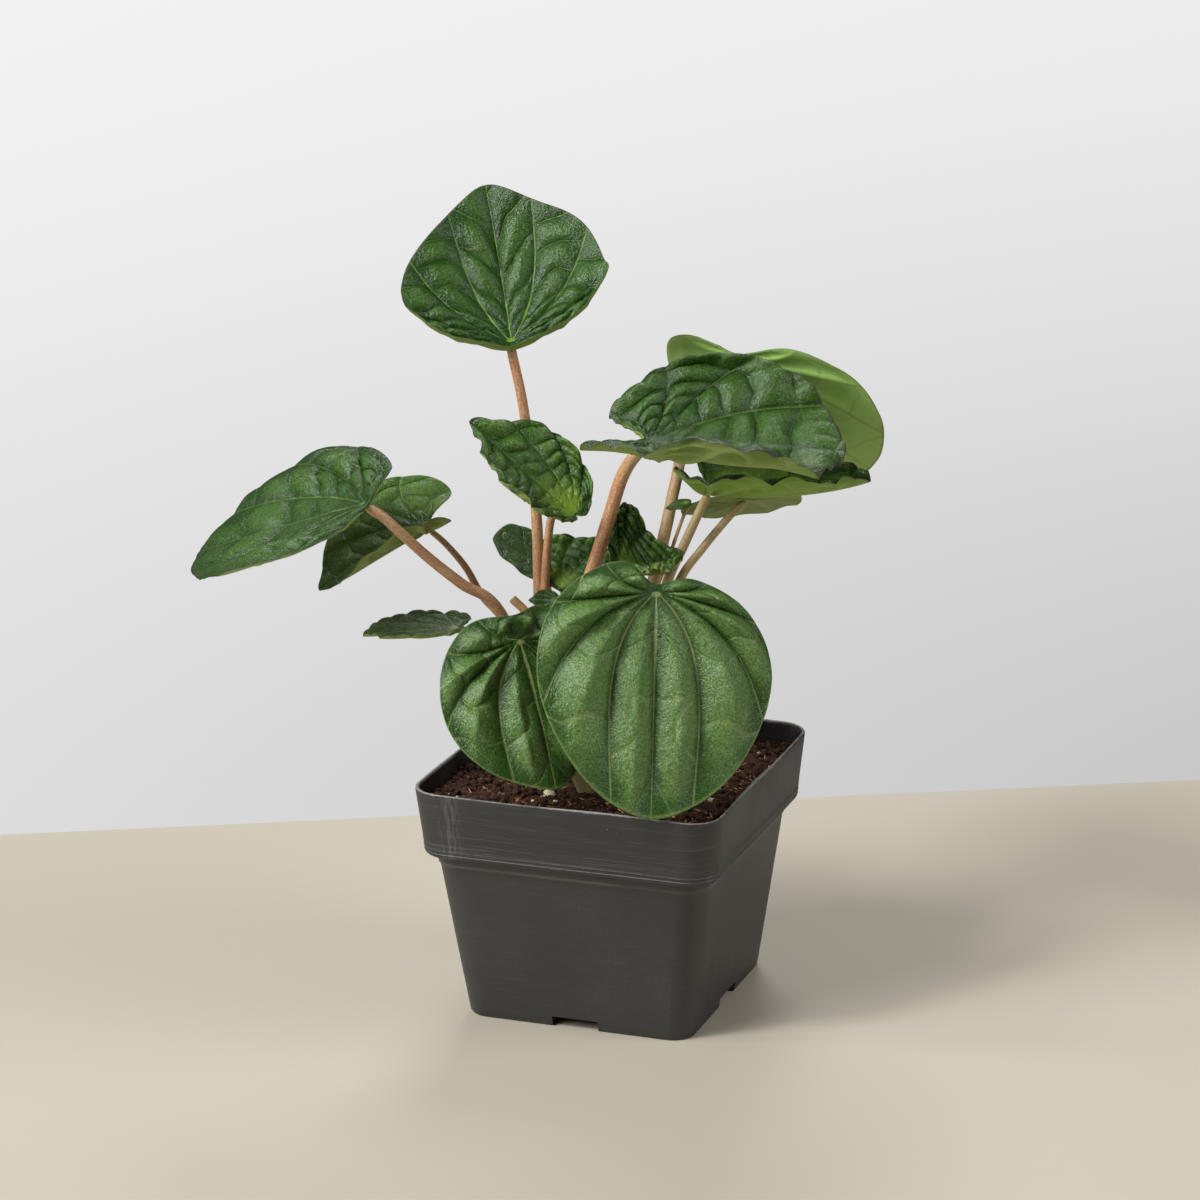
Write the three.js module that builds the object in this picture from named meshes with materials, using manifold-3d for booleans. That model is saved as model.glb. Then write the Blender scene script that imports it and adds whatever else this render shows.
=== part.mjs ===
// A potted peperomia: heart-shaped, puckered leaves on terracotta stalks that spring from three short
// stems in a square nursery pot. Millimetres, +Z up, origin at the centre of the pot's footprint.
import * as THREE from "three";
import { mergeVertices } from "three/addons/utils/BufferGeometryUtils.js";
import Module from "manifold-3d";

const wasm = await Module();
wasm.setup();

// ---------------------------------------------------------------------------------------------
// Driving dimensions
// ---------------------------------------------------------------------------------------------
const POT_TOP = 100; // width across the rim
const POT_BASE = 74; // width across the foot
const POT_BODY_TOP = 89; // width of the body just under the rim band
const BAND_BOTTOM = 95.4; // width of the rim band at its lower edge
const POT_HEIGHT = 77;
const BAND_Z = 55.2; // lower edge of the rim band
const STEP_Z = 51; // a faint step in the body under the band
const STEP = 0.35;
const CORNER_TOP = 9.6; // corner radii in plan
const CORNER_BASE = 7.4;
const WALL = 1.4;
const FLOOR = 1.8;
const NOTCH_WIDTH = 15; // drain notch in the foot of each side
const NOTCH_HEIGHT = 3.4;
const NOTCH_DEPTH = 12;
const DRAIN_HOLE = 5; // diameter of the hole in the roof of each notch

const SOIL_Z = 70.5; // mean height of the soil
const SOIL_BUMP = 1.1;
const GAP = 0.3; // clearance between separate pieces

const BLADE = 0.8; // thickness of a leaf blade
const VEIN_ANGLES = [38, 75, 112, 150]; // where the side veins meet the rim, degrees from the tip
const FOLD_ROUND = 3; // rounding of the fold along the midrib
const RELIEF_START = 9; // distance from the stalk at which the relief reaches its height
const VEIN_BOW = 0.45; // how far the side veins bow outwards
const VEIN_LAG = 0.12; // how much they lag along the midrib

const RINGS_LARGE = [0.2, 0.42, 0.65, 0.85, 1];
const RINGS_SMALL = [0.28, 0.58, 0.84, 1];

// One row for each leaf. at: where the stalk meets the blade. turn: heading of the tip, its rise
// and the roll about the midrib, degrees. size: length from stalk to tip, width, length of the
// lobes behind the stalk, length of the drawn-out tip. gap: stalk to the bottom of the notch.
// fold: how far the left and right halves rise from the midrib. curl: how far they curl on
// towards the rim. arch: droop of the front part and of the lobes. wide: shifts the widest
// place, above 0 towards the stalk. skew: lengthens the right lobe. pucker: height of the
// relief between the veins. wave: height and number of the waves along the rim.
const LEAVES = {
  blade_top: {
    at: [-28.8, -7.4, 209.9], turn: [118, 38, 14], size: [53, 64.5, 4, 4], gap: 3.8,
    fold: [24, 9], curl: [-1, 4], arch: [-33, 10], wide: 0.25, skew: 0,
    pucker: 1.3, wave: [0.5, 9], large: true,
  },
  blade_left_big: {
    at: [-61.3, -48, 167], turn: [173, -21, 13], size: [63.5, 64.5, 7, 1], gap: 1.5,
    fold: [-6, 16], curl: [20, 13], arch: [0, 12], wide: 0.03, skew: 0.38,
    pucker: 1.3, wave: [0.5, 9], large: true,
  },
  blade_left_second: {
    at: [-58.8, -5.6, 148.4], turn: [217, -18, -6], size: [39, 48, 16, 3.3], gap: 1.2,
    fold: [4, 14], curl: [41, 41], arch: [19, 24], wide: 0.21, skew: 0.14,
    pucker: 0.9, wave: [0.6, 11], large: true,
  },
  blade_left_low: {
    at: [-40.9, -25.7, 122.9], turn: [207, -3, 5], size: [29.3, 21.7, 7.6, 2], gap: 1,
    fold: [18, 12], curl: [-5, -7], arch: [-3, 9], wide: -0.07, skew: 0.04,
    pucker: 0.7, wave: [0.4, 7],
  },
  blade_young_middle: {
    at: [-8.6, -16.1, 164.1], turn: [190, 32, 22], size: [38.3, 31.7, 12.9, 5.8], gap: 1,
    fold: [20, 13], curl: [-8, 10], arch: [-16, 5], wide: -0.2, skew: 0,
    pucker: 1.2, wave: [0.5, 9], large: true,
  },
  blade_behind_stalks: {
    at: [-26.8, 15.8, 130.7], turn: [214, 31, 25], size: [21, 26, 3.3, 0.8], gap: 1.2,
    fold: [14, 10], curl: [2, 1], arch: [-3, 10], wide: -0.05, skew: 0,
    pucker: 0.5, wave: [0.3, 7],
  },
  blade_young_curly: {
    at: [-16.1, -0.6, 130.7], turn: [57, 39, -21], size: [20.5, 29.5, 3.4, 2.9], gap: 1.2,
    fold: [15, 11], curl: [7, 1], arch: [7, 10], wide: 0, skew: 0,
    pucker: 1, wave: [0.5, 7],
  },
  blade_young_right: {
    at: [5.4, -5.5, 140.8], turn: [40, -9, 0], size: [21, 46.5, 4.6, 6.5], gap: 2.8,
    fold: [45, 8], curl: [17, 14], arch: [-27, 17], wide: -0.14, skew: 0,
    pucker: 0.9, wave: [0.5, 7],
  },
  blade_right_big: {
    at: [17, -11.9, 184], turn: [19.5, -5, 19], size: [61.5, 73, 24, 1.5], gap: 1.5,
    fold: [34.5, 0], curl: [44.5, -15], arch: [3.5, -15.5], wide: -0.2, skew: 0.23,
    pucker: 1.3, wave: [0.8, 11], large: true,
  },
  blade_back_right: {
    at: [28.7, 35.9, 198.7], turn: [68.6, -57.8, -8.7], size: [71.4, 76, 9.1, 1.4], gap: 2,
    fold: [-3.4, 25], curl: [0, 0], arch: [-25.4, 7.8], wide: 0.22, skew: 0,
    pucker: 1, wave: [0.4, 9], large: true,
  },
  blade_right_lower: {
    at: [26.9, 13.8, 162.3], turn: [0.5, -3, 0], size: [53, 49, 16, 2.1], gap: 1.2,
    fold: [10, 11], curl: [10, 34], arch: [-20, 7], wide: 0.05, skew: 0.17,
    pucker: 1, wave: [0.7, 11], large: true,
  },
  blade_right_droop: {
    at: [33.7, 29.4, 155.6], turn: [115, -30, 3], size: [32.5, 38, 8.6, 1.9], gap: 1.2,
    fold: [-1, 2], curl: [6, -5], arch: [-7, 10], wide: 0, skew: 0,
    pucker: 0.7, wave: [0.4, 7],
  },
  blade_front_big: {
    at: [24.5, -28, 141.7], turn: [285, -67, 17], size: [68.6, 73.4, 8.8, 1.6], gap: 3,
    fold: [-4, 11], curl: [-5, -11], arch: [0, 11], wide: 0.18, skew: 0.28,
    pucker: 1.5, wave: [0.25, 7], large: true,
  },
  blade_front_left: {
    at: [-16.2, -37.6, 125.2], turn: [322, -61, 0], size: [46.5, 58, 13.4, 2], gap: 8,
    fold: [-25, -17], curl: [2, -1], arch: [7, 6], wide: 0, skew: -0.06,
    pucker: 1.3, wave: [0.25, 7], large: true,
  },
  blade_tiny_front: {
    at: [-13.3, -12.8, 130.4], turn: [206, 6, 34], size: [8.7, 8.5, 1.5, 1.3], gap: 0.8,
    fold: [8, 7], curl: [0, 1], arch: [5, 10], wide: 0, skew: 0,
    pucker: 0.2, wave: [0.15, 5],
  },
  blade_tiny_back: {
    at: [19, 19.7, 157.5], turn: [204, -10, 3], size: [9.4, 10.2, 2, 0.9], gap: 0.8,
    fold: [5, 7], curl: [0, 0], arch: [5, 10], wide: 0, skew: 0,
    pucker: 0.2, wave: [0.15, 5],
  },
};

// The three short stems: foot, top, radii.
const STEMS = {
  stem_left: { foot: [-17, -8, 58], top: [-20, -7.5, 97], radius: [4.4, 3.7] },
  stem_right: { foot: [3, 7, 58], top: [5.2, 8, 98], radius: [4, 3.4] },
  stem_front: { foot: [-1.5, -20, 58], top: [-1.5, -20, 78], radius: [2.8, 2.5] },
};

// Stalks: the stem they spring from, the leaf they carry, their radii and the points they pass.
const STALKS = [
  {
    stem: "stem_left", leaf: "blade_top", radius: [2.1, 1.5],
    path: [
      [-19, -7, 88], [-22.1, -3.8, 110.9], [-22.4, -3.9, 130.5], [-22.7, -4.9, 158.5],
      [-25.8, -5.8, 188.8], [-28.8, -7.2, 206.8],
    ],
  },
  {
    stem: "stem_left", leaf: "blade_young_middle", radius: [1.6, 1.3],
    path: [
      [-18.5, -8, 90], [-19.2, -7, 115.5], [-19, -7, 129.4], [-16.7, -11.4, 146.1],
      [-15, -14.6, 153], [-11.4, -15.6, 159.3],
    ],
  },
  {
    stem: "stem_left", leaf: "blade_behind_stalks", radius: [1.2, 0.9],
    path: [
      [-19.5, -6, 90], [-24.3, 3.9, 111.6], [-25.5, 13, 123.4],
    ],
  },
  {
    stem: "stem_left", leaf: "blade_young_curly", radius: [1.2, 1],
    path: [
      [-18, -7, 90], [-17.5, -1.1, 110.5], [-16.2, 0.5, 123.2],
    ],
  },
  {
    stem: "stem_left", leaf: "blade_left_big", radius: [2.1, 1.8],
    path: [
      [-20, -8, 92], [-28.4, -22.1, 128.3], [-37.7, -29.8, 138.7], [-45.5, -35.9, 147.7],
      [-51.9, -41.4, 156.3], [-57, -45.4, 163],
    ],
  },
  {
    stem: "stem_left", leaf: "blade_left_second", radius: [1.5, 1.1],
    path: [
      [-20, -7, 92], [-30.9, -9.2, 118.9], [-40.4, -6.3, 127.5], [-46.4, -4.2, 135.4],
      [-52.5, -5.4, 142.9],
    ],
  },
  {
    stem: "stem_left", leaf: "blade_left_low", radius: [1.2, 0.9],
    path: [
      [-19.5, -8.5, 86], [-24.7, -15.4, 108.4], [-35, -22.4, 118.7],
    ],
  },
  {
    stem: "stem_left", leaf: "blade_right_big", radius: [2.4, 2.1],
    path: [
      [-18.5, -7.5, 88], [-9.5, -9.9, 120.6], [-2.7, -10.6, 139.5], [3.6, -11.4, 158.2],
      [8, -11.8, 171.5], [12.5, -12, 179],
    ],
  },
  {
    stem: "stem_left", leaf: "blade_tiny_front", radius: [0.9, 0.7],
    path: [
      [-18.5, -8.5, 88], [-11.3, -10.5, 114.1], [-11.6, -10.8, 124.5],
    ],
  },
  {
    stem: "stem_right", leaf: "blade_young_right", radius: [1.4, 1.1],
    path: [
      [4, 6.5, 90], [3.6, -0.8, 115.8], [5.1, -3.5, 133],
    ],
  },
  {
    stem: "stem_right", leaf: "blade_back_right", radius: [2.3, 1.8],
    path: [
      [4.5, 8, 92], [6.8, 6.8, 113.8], [10, 12.2, 133.6], [11.6, 19.2, 148.6],
      [11.4, 27.6, 158.5], [13.2, 36.8, 173.9],
    ],
  },
  {
    stem: "stem_right", leaf: "blade_tiny_back", radius: [0.9, 0.7],
    path: [
      [5, 8.5, 92], [8.5, 11.6, 122.3], [12.5, 17.4, 137.2], [16.3, 19.8, 149.8],
    ],
  },
  {
    stem: "stem_right", leaf: "blade_right_lower", radius: [1.9, 1.5],
    path: [
      [5, 7.5, 90], [10.4, 5.9, 114.4], [15.4, 8.8, 133.5], [19.8, 11.5, 144.5],
      [23.9, 14.1, 154.7],
    ],
  },
  {
    stem: "stem_right", leaf: "blade_right_droop", radius: [1.7, 1.3],
    path: [
      [5.5, 8, 88], [10.5, 10.2, 113.1], [15.9, 18.6, 130.7], [21.1, 24.8, 139.4],
      [28.1, 29.5, 148.8],
    ],
  },
  {
    stem: "stem_front", leaf: "blade_front_big", radius: [2.1, 1.8],
    path: [
      [-1.5, -20, 71], [5.9, -17, 90.4], [13.7, -16.3, 112], [19.7, -18.3, 128.7],
    ],
  },
  {
    stem: "stem_front", leaf: "blade_front_left", radius: [1.9, 1.6],
    path: [
      [-1.5, -20, 71], [-6.6, -22.2, 84], [-11.2, -22, 97.1], [-14.5, -25.5, 112],
      [-16, -33, 122.5],
    ],
  },
  {
    stem: "stem_left", leaf: null, radius: [1.5, 1.4],
    path: [
      [-20, -8, 94], [-27, -11, 114], [-32.5, -12.5, 127.5],
    ],
  },
];

// ---------------------------------------------------------------------------------------------
// Solids
// ---------------------------------------------------------------------------------------------
const radians = THREE.MathUtils.degToRad;

// A closed geometry as a solid that can be joined and cut.
function solid(geometry) {
  const bare = geometry.index ? geometry.toNonIndexed() : geometry.clone();
  bare.deleteAttribute("normal");
  bare.deleteAttribute("uv");
  const merged = mergeVertices(bare, 1e-4);
  return new wasm.Manifold(
    new wasm.Mesh({
      numProp: 3,
      vertProperties: new Float32Array(merged.attributes.position.array),
      triVerts: new Uint32Array(merged.index.array),
    }),
  );
}

function geometryOf(manifold) {
  const mesh = manifold.getMesh();
  const geometry = new THREE.BufferGeometry();
  const stride = mesh.numProp;
  const count = mesh.vertProperties.length / stride;
  const position = new Float32Array(count * 3);
  for (let i = 0; i < count; i += 1) {
    position.set(mesh.vertProperties.subarray(i * stride, i * stride + 3), i * 3);
  }
  geometry.setAttribute("position", new THREE.BufferAttribute(position, 3));
  geometry.setIndex(new THREE.BufferAttribute(new Uint32Array(mesh.triVerts), 1));
  geometry.computeVertexNormals();
  return geometry;
}

function largest(manifold) {
  const pieces = manifold.decompose();
  pieces.sort((a, b) => b.volume() - a.volume());
  return pieces[0];
}

// Rings of equal count joined into a closed skin, with a fan at each end.
function skin(rings, capStart, capEnd) {
  const points = rings.flat();
  const n = rings[0].length;
  const faces = [];
  for (let k = 0; k + 1 < rings.length; k += 1) {
    for (let i = 0; i < n; i += 1) {
      const a = k * n + i;
      const b = k * n + ((i + 1) % n);
      faces.push([a, b, b + n], [a, b + n, a + n]);
    }
  }
  const start = points.push(capStart) - 1;
  const end = points.push(capEnd) - 1;
  const last = (rings.length - 1) * n;
  for (let i = 0; i < n; i += 1) {
    const j = (i + 1) % n;
    faces.push([start, j, i], [end, last + i, last + j]);
  }
  return geometryFrom(points, faces);
}

function geometryFrom(points, faces) {
  const geometry = new THREE.BufferGeometry();
  const position = new Float32Array(points.flatMap((p) => [p.x, p.y, p.z]));
  geometry.setAttribute("position", new THREE.BufferAttribute(position, 3));
  geometry.setIndex(faces.flat());
  geometry.computeVertexNormals();
  return geometry;
}

// ---------------------------------------------------------------------------------------------
// Leaf blades
// ---------------------------------------------------------------------------------------------
// A point of the flat blade: rho runs from 0 at the stalk to 1 at the rim, t from 0 at the tip to
// half a turn at the notch. The curves of one t are the veins' directions and bow outwards.
function flat(leaf, rho, t) {
  const [length, width, lobeMean, tip] = leaf.size;
  const lobe = lobeMean * (1 + (t >= 0 ? leaf.skew : -leaf.skew));
  const broad = rho * (1 + VEIN_BOW * (1 - rho));
  const long = rho * (1 - VEIN_LAG * (1 - rho));
  const back = long * long;
  const x = (width / 2) * Math.sin(t) * (1 - leaf.wide * Math.cos(t)) * broad;
  const y =
    ((length - tip) * long * (1 + Math.cos(t))) / 2 -
    (lobe * back * (1 - Math.cos(t))) / 2 +
    tip * long * Math.exp(-((t / 0.28) ** 2)) +
    (lobe * back - leaf.gap * long) * Math.exp(-(((Math.PI - Math.abs(t)) / 0.36) ** 2));
  return [x, y];
}

// Relief: the blade puffs up between the veins and its rim waves.
function relief(leaf, rho, t) {
  const stops = [0, ...VEIN_ANGLES, 180].map(radians);
  const at = Math.abs(t);
  let s = 0;
  for (let i = 0; i + 1 < stops.length; i += 1) {
    if (at >= stops[i] && at <= stops[i + 1]) {
      s = (at - stops[i]) / (stops[i + 1] - stops[i]);
    }
  }
  const r = Math.hypot(...flat(leaf, rho, t));
  const rise = Math.min(1, r / RELIEF_START) ** 2;
  const puff = rise * Math.sin(Math.PI * s) * Math.sin(Math.PI * Math.min(1, rho * 1.05) ** 0.9);
  const wave = Math.sin(leaf.wave[1] * t + leaf.size[0]) * rho ** 6 * Math.max(0, Math.cos(t / 2)) ** 0.3;
  return leaf.pucker * Math.max(0, puff) + leaf.wave[0] * wave;
}

// Bends the flat blade: folded and curled about the midrib, then arched along it.
function bend(leaf, x, y, z) {
  const half = leaf.size[1] / 2;
  const side = x >= 0 ? 1 : 0;
  const fold = radians(leaf.fold[side]);
  const k = radians(leaf.curl[side]) / half || 1e-6;
  const ax = Math.hypot(x, FOLD_ROUND) - FOLD_ROUND;
  const across = (Math.sin(fold + k * ax) - Math.sin(fold)) / k;
  const up = (Math.cos(fold) - Math.cos(fold + k * ax)) / k;
  const slope = fold + k * ax;
  const lean = x / Math.hypot(x, FOLD_ROUND);
  const bx = Math.sign(x) * (across + Math.abs(x) - ax) - z * Math.sin(slope) * lean;
  const bz = up + z * Math.cos(slope);
  const q = radians(leaf.arch[y >= 0 ? 0 : 1]) / leaf.size[0] || 1e-7;
  const th = q * y;
  const by = Math.sin(th) / q + bz * Math.sin(th);
  return new THREE.Vector3(bx, by, bz * Math.cos(th) - (1 - Math.cos(th)) / q);
}

// The blade's own frame in the plant: x to its right, y along the midrib, z off its upper face.
function frameOf(leaf) {
  const [h, p, r] = leaf.turn.map(radians);
  const y = new THREE.Vector3(Math.cos(h) * Math.cos(p), Math.sin(h) * Math.cos(p), Math.sin(p));
  const x0 = new THREE.Vector3(Math.sin(h), -Math.cos(h), 0);
  const z0 = new THREE.Vector3(-Math.cos(h) * Math.sin(p), -Math.sin(h) * Math.sin(p), Math.cos(p));
  const x = x0.clone().multiplyScalar(Math.cos(r)).addScaledVector(z0, Math.sin(r));
  const z = x0.clone().multiplyScalar(-Math.sin(r)).addScaledVector(z0, Math.cos(r));
  return new THREE.Matrix4().makeBasis(x, y, z).setPosition(...leaf.at);
}

// Angles of the columns: on every vein, with places between them.
function columns(leaf) {
  const stops = [0, ...VEIN_ANGLES, 180];
  const parts = leaf.large ? 3 : 2;
  const half = [];
  for (let i = 0; i + 1 < stops.length; i += 1) {
    const wide = stops[i + 1] - stops[i];
    for (let k = 0; k < parts; k += 1) {
      half.push(stops[i] + (wide * k) / parts);
    }
  }
  const left = half.slice(1).map((a) => -a);
  return [-180, ...left.reverse(), ...half].map(radians);
}

function bladeGeometry(leaf, thickness) {
  const ts = columns(leaf);
  const rings = leaf.large ? RINGS_LARGE : RINGS_SMALL;
  const n = ts.length;
  const frame = frameOf(leaf);
  const place = (rho, t) => {
    const [x, y] = flat(leaf, rho, t);
    return bend(leaf, x, y, relief(leaf, rho, t));
  };
  const middle = [place(0.0001, 0)];
  for (const rho of rings) {
    middle.push(...ts.map((t) => place(rho, t)));
  }
  const faces = [];
  for (let i = 0; i < n; i += 1) faces.push([0, 1 + ((i + 1) % n), 1 + i]);
  for (let k = 0; k + 1 < rings.length; k += 1) {
    for (let i = 0; i < n; i += 1) {
      const a = 1 + k * n + i;
      const b = 1 + k * n + ((i + 1) % n);
      faces.push([a, b, b + n], [a, b + n, a + n]);
    }
  }
  const sheet = geometryFrom(middle, faces);
  const normal = sheet.attributes.normal;
  const points = [];
  for (const side of [0.5, -0.5]) {
    middle.forEach((p, i) => {
      const v = new THREE.Vector3().fromBufferAttribute(normal, i);
      if (v.z < 0) v.negate();
      points.push(p.clone().addScaledVector(v, side * thickness).applyMatrix4(frame));
    });
  }
  const m = middle.length;
  const all = [];
  const up = upward(middle, faces);
  for (const [a, b, c] of faces) {
    all.push(up ? [a, b, c] : [a, c, b]);
    all.push(up ? [a + m, c + m, b + m] : [a + m, b + m, c + m]);
  }
  const edge = m - n;
  for (let i = 0; i < n; i += 1) {
    const a = edge + i;
    const b = edge + ((i + 1) % n);
    if (up) all.push([a, b, b + m], [a, b + m, a + m]);
    else all.push([a, b + m, b], [a, a + m, b + m]);
  }
  return geometryFrom(points, all);
}

// Whether the faces of a sheet point along +Z on the whole.
function upward(points, faces) {
  let sum = 0;
  for (const [a, b, c] of faces) {
    const u = points[b].clone().sub(points[a]);
    sum += u.cross(points[c].clone().sub(points[a])).z;
  }
  return sum > 0;
}

// ---------------------------------------------------------------------------------------------
// Stems and stalks
// ---------------------------------------------------------------------------------------------
// A tapered tube along a smooth curve through the points.
function tube(path, radius, sides, steps) {
  const points = path.map((p) => new THREE.Vector3(...p));
  const curve = new THREE.CatmullRomCurve3(points, false, "catmullrom", 0.5);
  const rings = [];
  const centres = [];
  const across = new THREE.Vector3(1, 0, 0);
  for (let k = 0; k <= steps; k += 1) {
    const u = k / steps;
    const centre = curve.getPoint(u);
    const along = curve.getTangent(u);
    across.addScaledVector(along, -across.dot(along)).normalize();
    const other = along.clone().cross(across);
    const r = radius[0] + (radius[1] - radius[0]) * u;
    const ring = [];
    for (let i = 0; i < sides; i += 1) {
      const a = (i / sides) * Math.PI * 2;
      const point = centre.clone().addScaledVector(across, r * Math.cos(a));
      ring.push(point.addScaledVector(other, r * Math.sin(a)));
    }
    rings.push(ring);
    centres.push(centre);
  }
  return skin(rings, centres[0], centres[centres.length - 1]);
}

// A stalk, cut off flat just under the blade that it carries.
function stalkSolid(stalk) {
  const leaf = LEAVES[stalk.leaf];
  const path = leaf ? [...stalk.path, leaf.at] : stalk.path;
  const sides = stalk.radius[0] > 1.3 ? 8 : 6;
  const steps = Math.max(4, path.length * 2 - 1);
  const piece = solid(tube(path, stalk.radius, sides, steps));
  if (!leaf) return piece;
  const down = new THREE.Vector3(0, 0, -1).transformDirection(frameOf(leaf));
  const sag = 1.5 * stalk.radius[1] * Math.tan(radians(Math.max(0, -leaf.fold[0], -leaf.fold[1])));
  const offset = down.dot(new THREE.Vector3(...leaf.at)) + BLADE / 2 + GAP + 0.15 + sag;
  return largest(piece.trimByPlane([down.x, down.y, down.z], offset));
}

// The middle of a stem leans a little to the back.
function stemPath({ foot, top }) {
  return [foot, [(foot[0] + top[0]) / 2, (foot[1] + top[1]) / 2 + 0.4, (foot[2] + top[2]) / 2], top];
}

// A short stem with the stalks that spring from it.
function stemSolid(name) {
  let body = solid(tube(stemPath(STEMS[name]), STEMS[name].radius, 10, 4));
  for (const stalk of STALKS.filter((s) => s.stem === name)) {
    body = body.add(stalkSolid(stalk));
  }
  return body;
}

// ---------------------------------------------------------------------------------------------
// Pot
// ---------------------------------------------------------------------------------------------
// One ring of a square with rounded corners.
function squareRing(width, corner, z, perCorner = 5) {
  const ring = [];
  const inner = width / 2 - corner;
  for (let q = 0; q < 4; q += 1) {
    const cx = inner * (q === 0 || q === 3 ? 1 : -1);
    const cy = inner * (q < 2 ? 1 : -1);
    for (let k = 0; k < perCorner; k += 1) {
      const a = ((q + k / (perCorner - 1)) * Math.PI) / 2;
      ring.push(new THREE.Vector3(cx + corner * Math.cos(a), cy + corner * Math.sin(a), z));
    }
  }
  return ring;
}

function squareLoft(levels) {
  const rings = levels.map(([width, corner, z]) => squareRing(width, corner, z));
  const first = new THREE.Vector3(0, 0, levels[0][2]);
  const last = new THREE.Vector3(0, 0, levels[levels.length - 1][2]);
  return skin(rings, first, last);
}

const bodyWidth = (z) => POT_BASE + ((POT_BODY_TOP - POT_BASE) * z) / BAND_Z;
const bodyCorner = (z) => CORNER_BASE + ((CORNER_TOP - 1 - CORNER_BASE) * z) / BAND_Z;

// The room inside the pot, drawn in by a clearance on every side.
function potRoom(clear, top) {
  const inset = 2 * (WALL + clear);
  const floor = FLOOR + clear;
  const shoulder = BAND_Z + 1.2 + clear;
  const topWidth = POT_TOP - ((POT_TOP - BAND_BOTTOM) * (POT_HEIGHT - top)) / (POT_HEIGHT - BAND_Z);
  return solid(
    squareLoft([
      [bodyWidth(floor) - inset, bodyCorner(floor) - WALL, floor],
      [bodyWidth(shoulder) - inset, bodyCorner(shoulder) - WALL, shoulder],
      [BAND_BOTTOM - inset, CORNER_TOP - WALL - 0.4, shoulder + 1.4],
      [topWidth - inset, CORNER_TOP - WALL, top],
    ]),
  );
}

// A block at the foot of one side, from one distance inside the foot's edge to another.
function sideBox(width, from, to, low, high, turn) {
  const block = new THREE.BoxGeometry(width, to - from, high - low);
  block.translate(0, (from + to) / 2 - POT_BASE / 2, (low + high) / 2);
  return solid(block.rotateZ(turn));
}

function potSolid() {
  let pot = solid(
    squareLoft([
      [POT_BASE - 1, CORNER_BASE - 0.4, 0],
      [POT_BASE, CORNER_BASE, 0.6],
      [bodyWidth(STEP_Z), bodyCorner(STEP_Z), STEP_Z],
      [bodyWidth(STEP_Z) + 2 * STEP, bodyCorner(STEP_Z), STEP_Z + 0.3],
      [bodyWidth(BAND_Z) + 2 * STEP, bodyCorner(BAND_Z), BAND_Z],
      [BAND_BOTTOM - 0.8, CORNER_TOP - 0.6, BAND_Z + 0.01],
      [BAND_BOTTOM, CORNER_TOP - 0.4, BAND_Z + 0.6],
      [POT_TOP - 0.1, CORNER_TOP, POT_HEIGHT - 0.6],
      [POT_TOP - 0.7, CORNER_TOP - 0.3, POT_HEIGHT],
    ]),
  );
  pot = pot.subtract(potRoom(0, POT_HEIGHT + 1));
  for (let k = 0; k < 4; k += 1) {
    const turn = (k * Math.PI) / 2;
    const high = NOTCH_HEIGHT + WALL;
    pot = pot.add(sideBox(NOTCH_WIDTH + 2 * WALL, 0.5, NOTCH_DEPTH + WALL, 0.5, high, turn));
    pot = pot.subtract(sideBox(NOTCH_WIDTH, -5, NOTCH_DEPTH, -1, NOTCH_HEIGHT, turn));
    const hole = new THREE.CylinderGeometry(DRAIN_HOLE / 2, DRAIN_HOLE / 2, 6, 12);
    hole.rotateX(Math.PI / 2).translate(0, NOTCH_DEPTH / 2 - POT_BASE / 2, high);
    pot = pot.subtract(solid(hole.rotateZ(turn)));
  }
  return pot;
}

// ---------------------------------------------------------------------------------------------
// Soil
// ---------------------------------------------------------------------------------------------
function bumps(x, y) {
  return (
    0.5 * Math.sin(0.31 * x + 1.3) * Math.cos(0.27 * y + 0.4) +
    0.3 * Math.sin(0.67 * x - 0.52 * y + 2.1) +
    0.2 * Math.cos(1.13 * x + 0.94 * y)
  );
}

// A slab whose top follows the bumps, cut to the room inside the pot, with a hole for each stem.
function soilSolid() {
  const cells = 13;
  const span = POT_TOP;
  const points = [];
  const faces = [];
  for (const level of [1, 0]) {
    for (let j = 0; j <= cells; j += 1) {
      for (let i = 0; i <= cells; i += 1) {
        const x = span * (i / cells - 0.5);
        const y = span * (j / cells - 0.5);
        const z = level ? SOIL_Z - 0.02 * y + SOIL_BUMP * bumps(x, y) : -5;
        points.push(new THREE.Vector3(x, y, z));
      }
    }
  }
  const w = cells + 1;
  const m = w * w;
  for (let j = 0; j < cells; j += 1) {
    for (let i = 0; i < cells; i += 1) {
      const a = j * w + i;
      faces.push([a, a + 1, a + w + 1], [a, a + w + 1, a + w]);
      faces.push([a + m, a + w + 1 + m, a + 1 + m], [a + m, a + w + m, a + w + 1 + m]);
    }
  }
  const border = [];
  for (let i = 0; i < cells; i += 1) border.push(i);
  for (let j = 0; j < cells; j += 1) border.push(j * w + cells);
  for (let i = cells; i > 0; i -= 1) border.push(cells * w + i);
  for (let j = cells; j > 0; j -= 1) border.push(j * w);
  border.forEach((a, k) => {
    const b = border[(k + 1) % border.length];
    faces.push([a, a + m, b + m], [a, b + m, b]);
  });
  let soil = solid(geometryFrom(points, faces)).intersect(potRoom(GAP, POT_HEIGHT));
  const over = NOTCH_HEIGHT + WALL + GAP;
  for (let k = 0; k < 4; k += 1) {
    const turn = (k * Math.PI) / 2;
    const wide = NOTCH_WIDTH + 2 * WALL + 2 * GAP;
    soil = soil.subtract(sideBox(wide, -6, NOTCH_DEPTH + WALL + GAP, -4, over, turn));
  }
  for (const stem of Object.values(STEMS)) {
    const [foot, mid, top] = stemPath(stem);
    const low = [foot[0], foot[1], foot[2] - GAP];
    const radius = stem.radius.map((r) => r + GAP + 0.1);
    soil = soil.subtract(solid(tube([low, mid, top], radius, 10, 4)));
  }
  return largest(soil);
}

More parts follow.
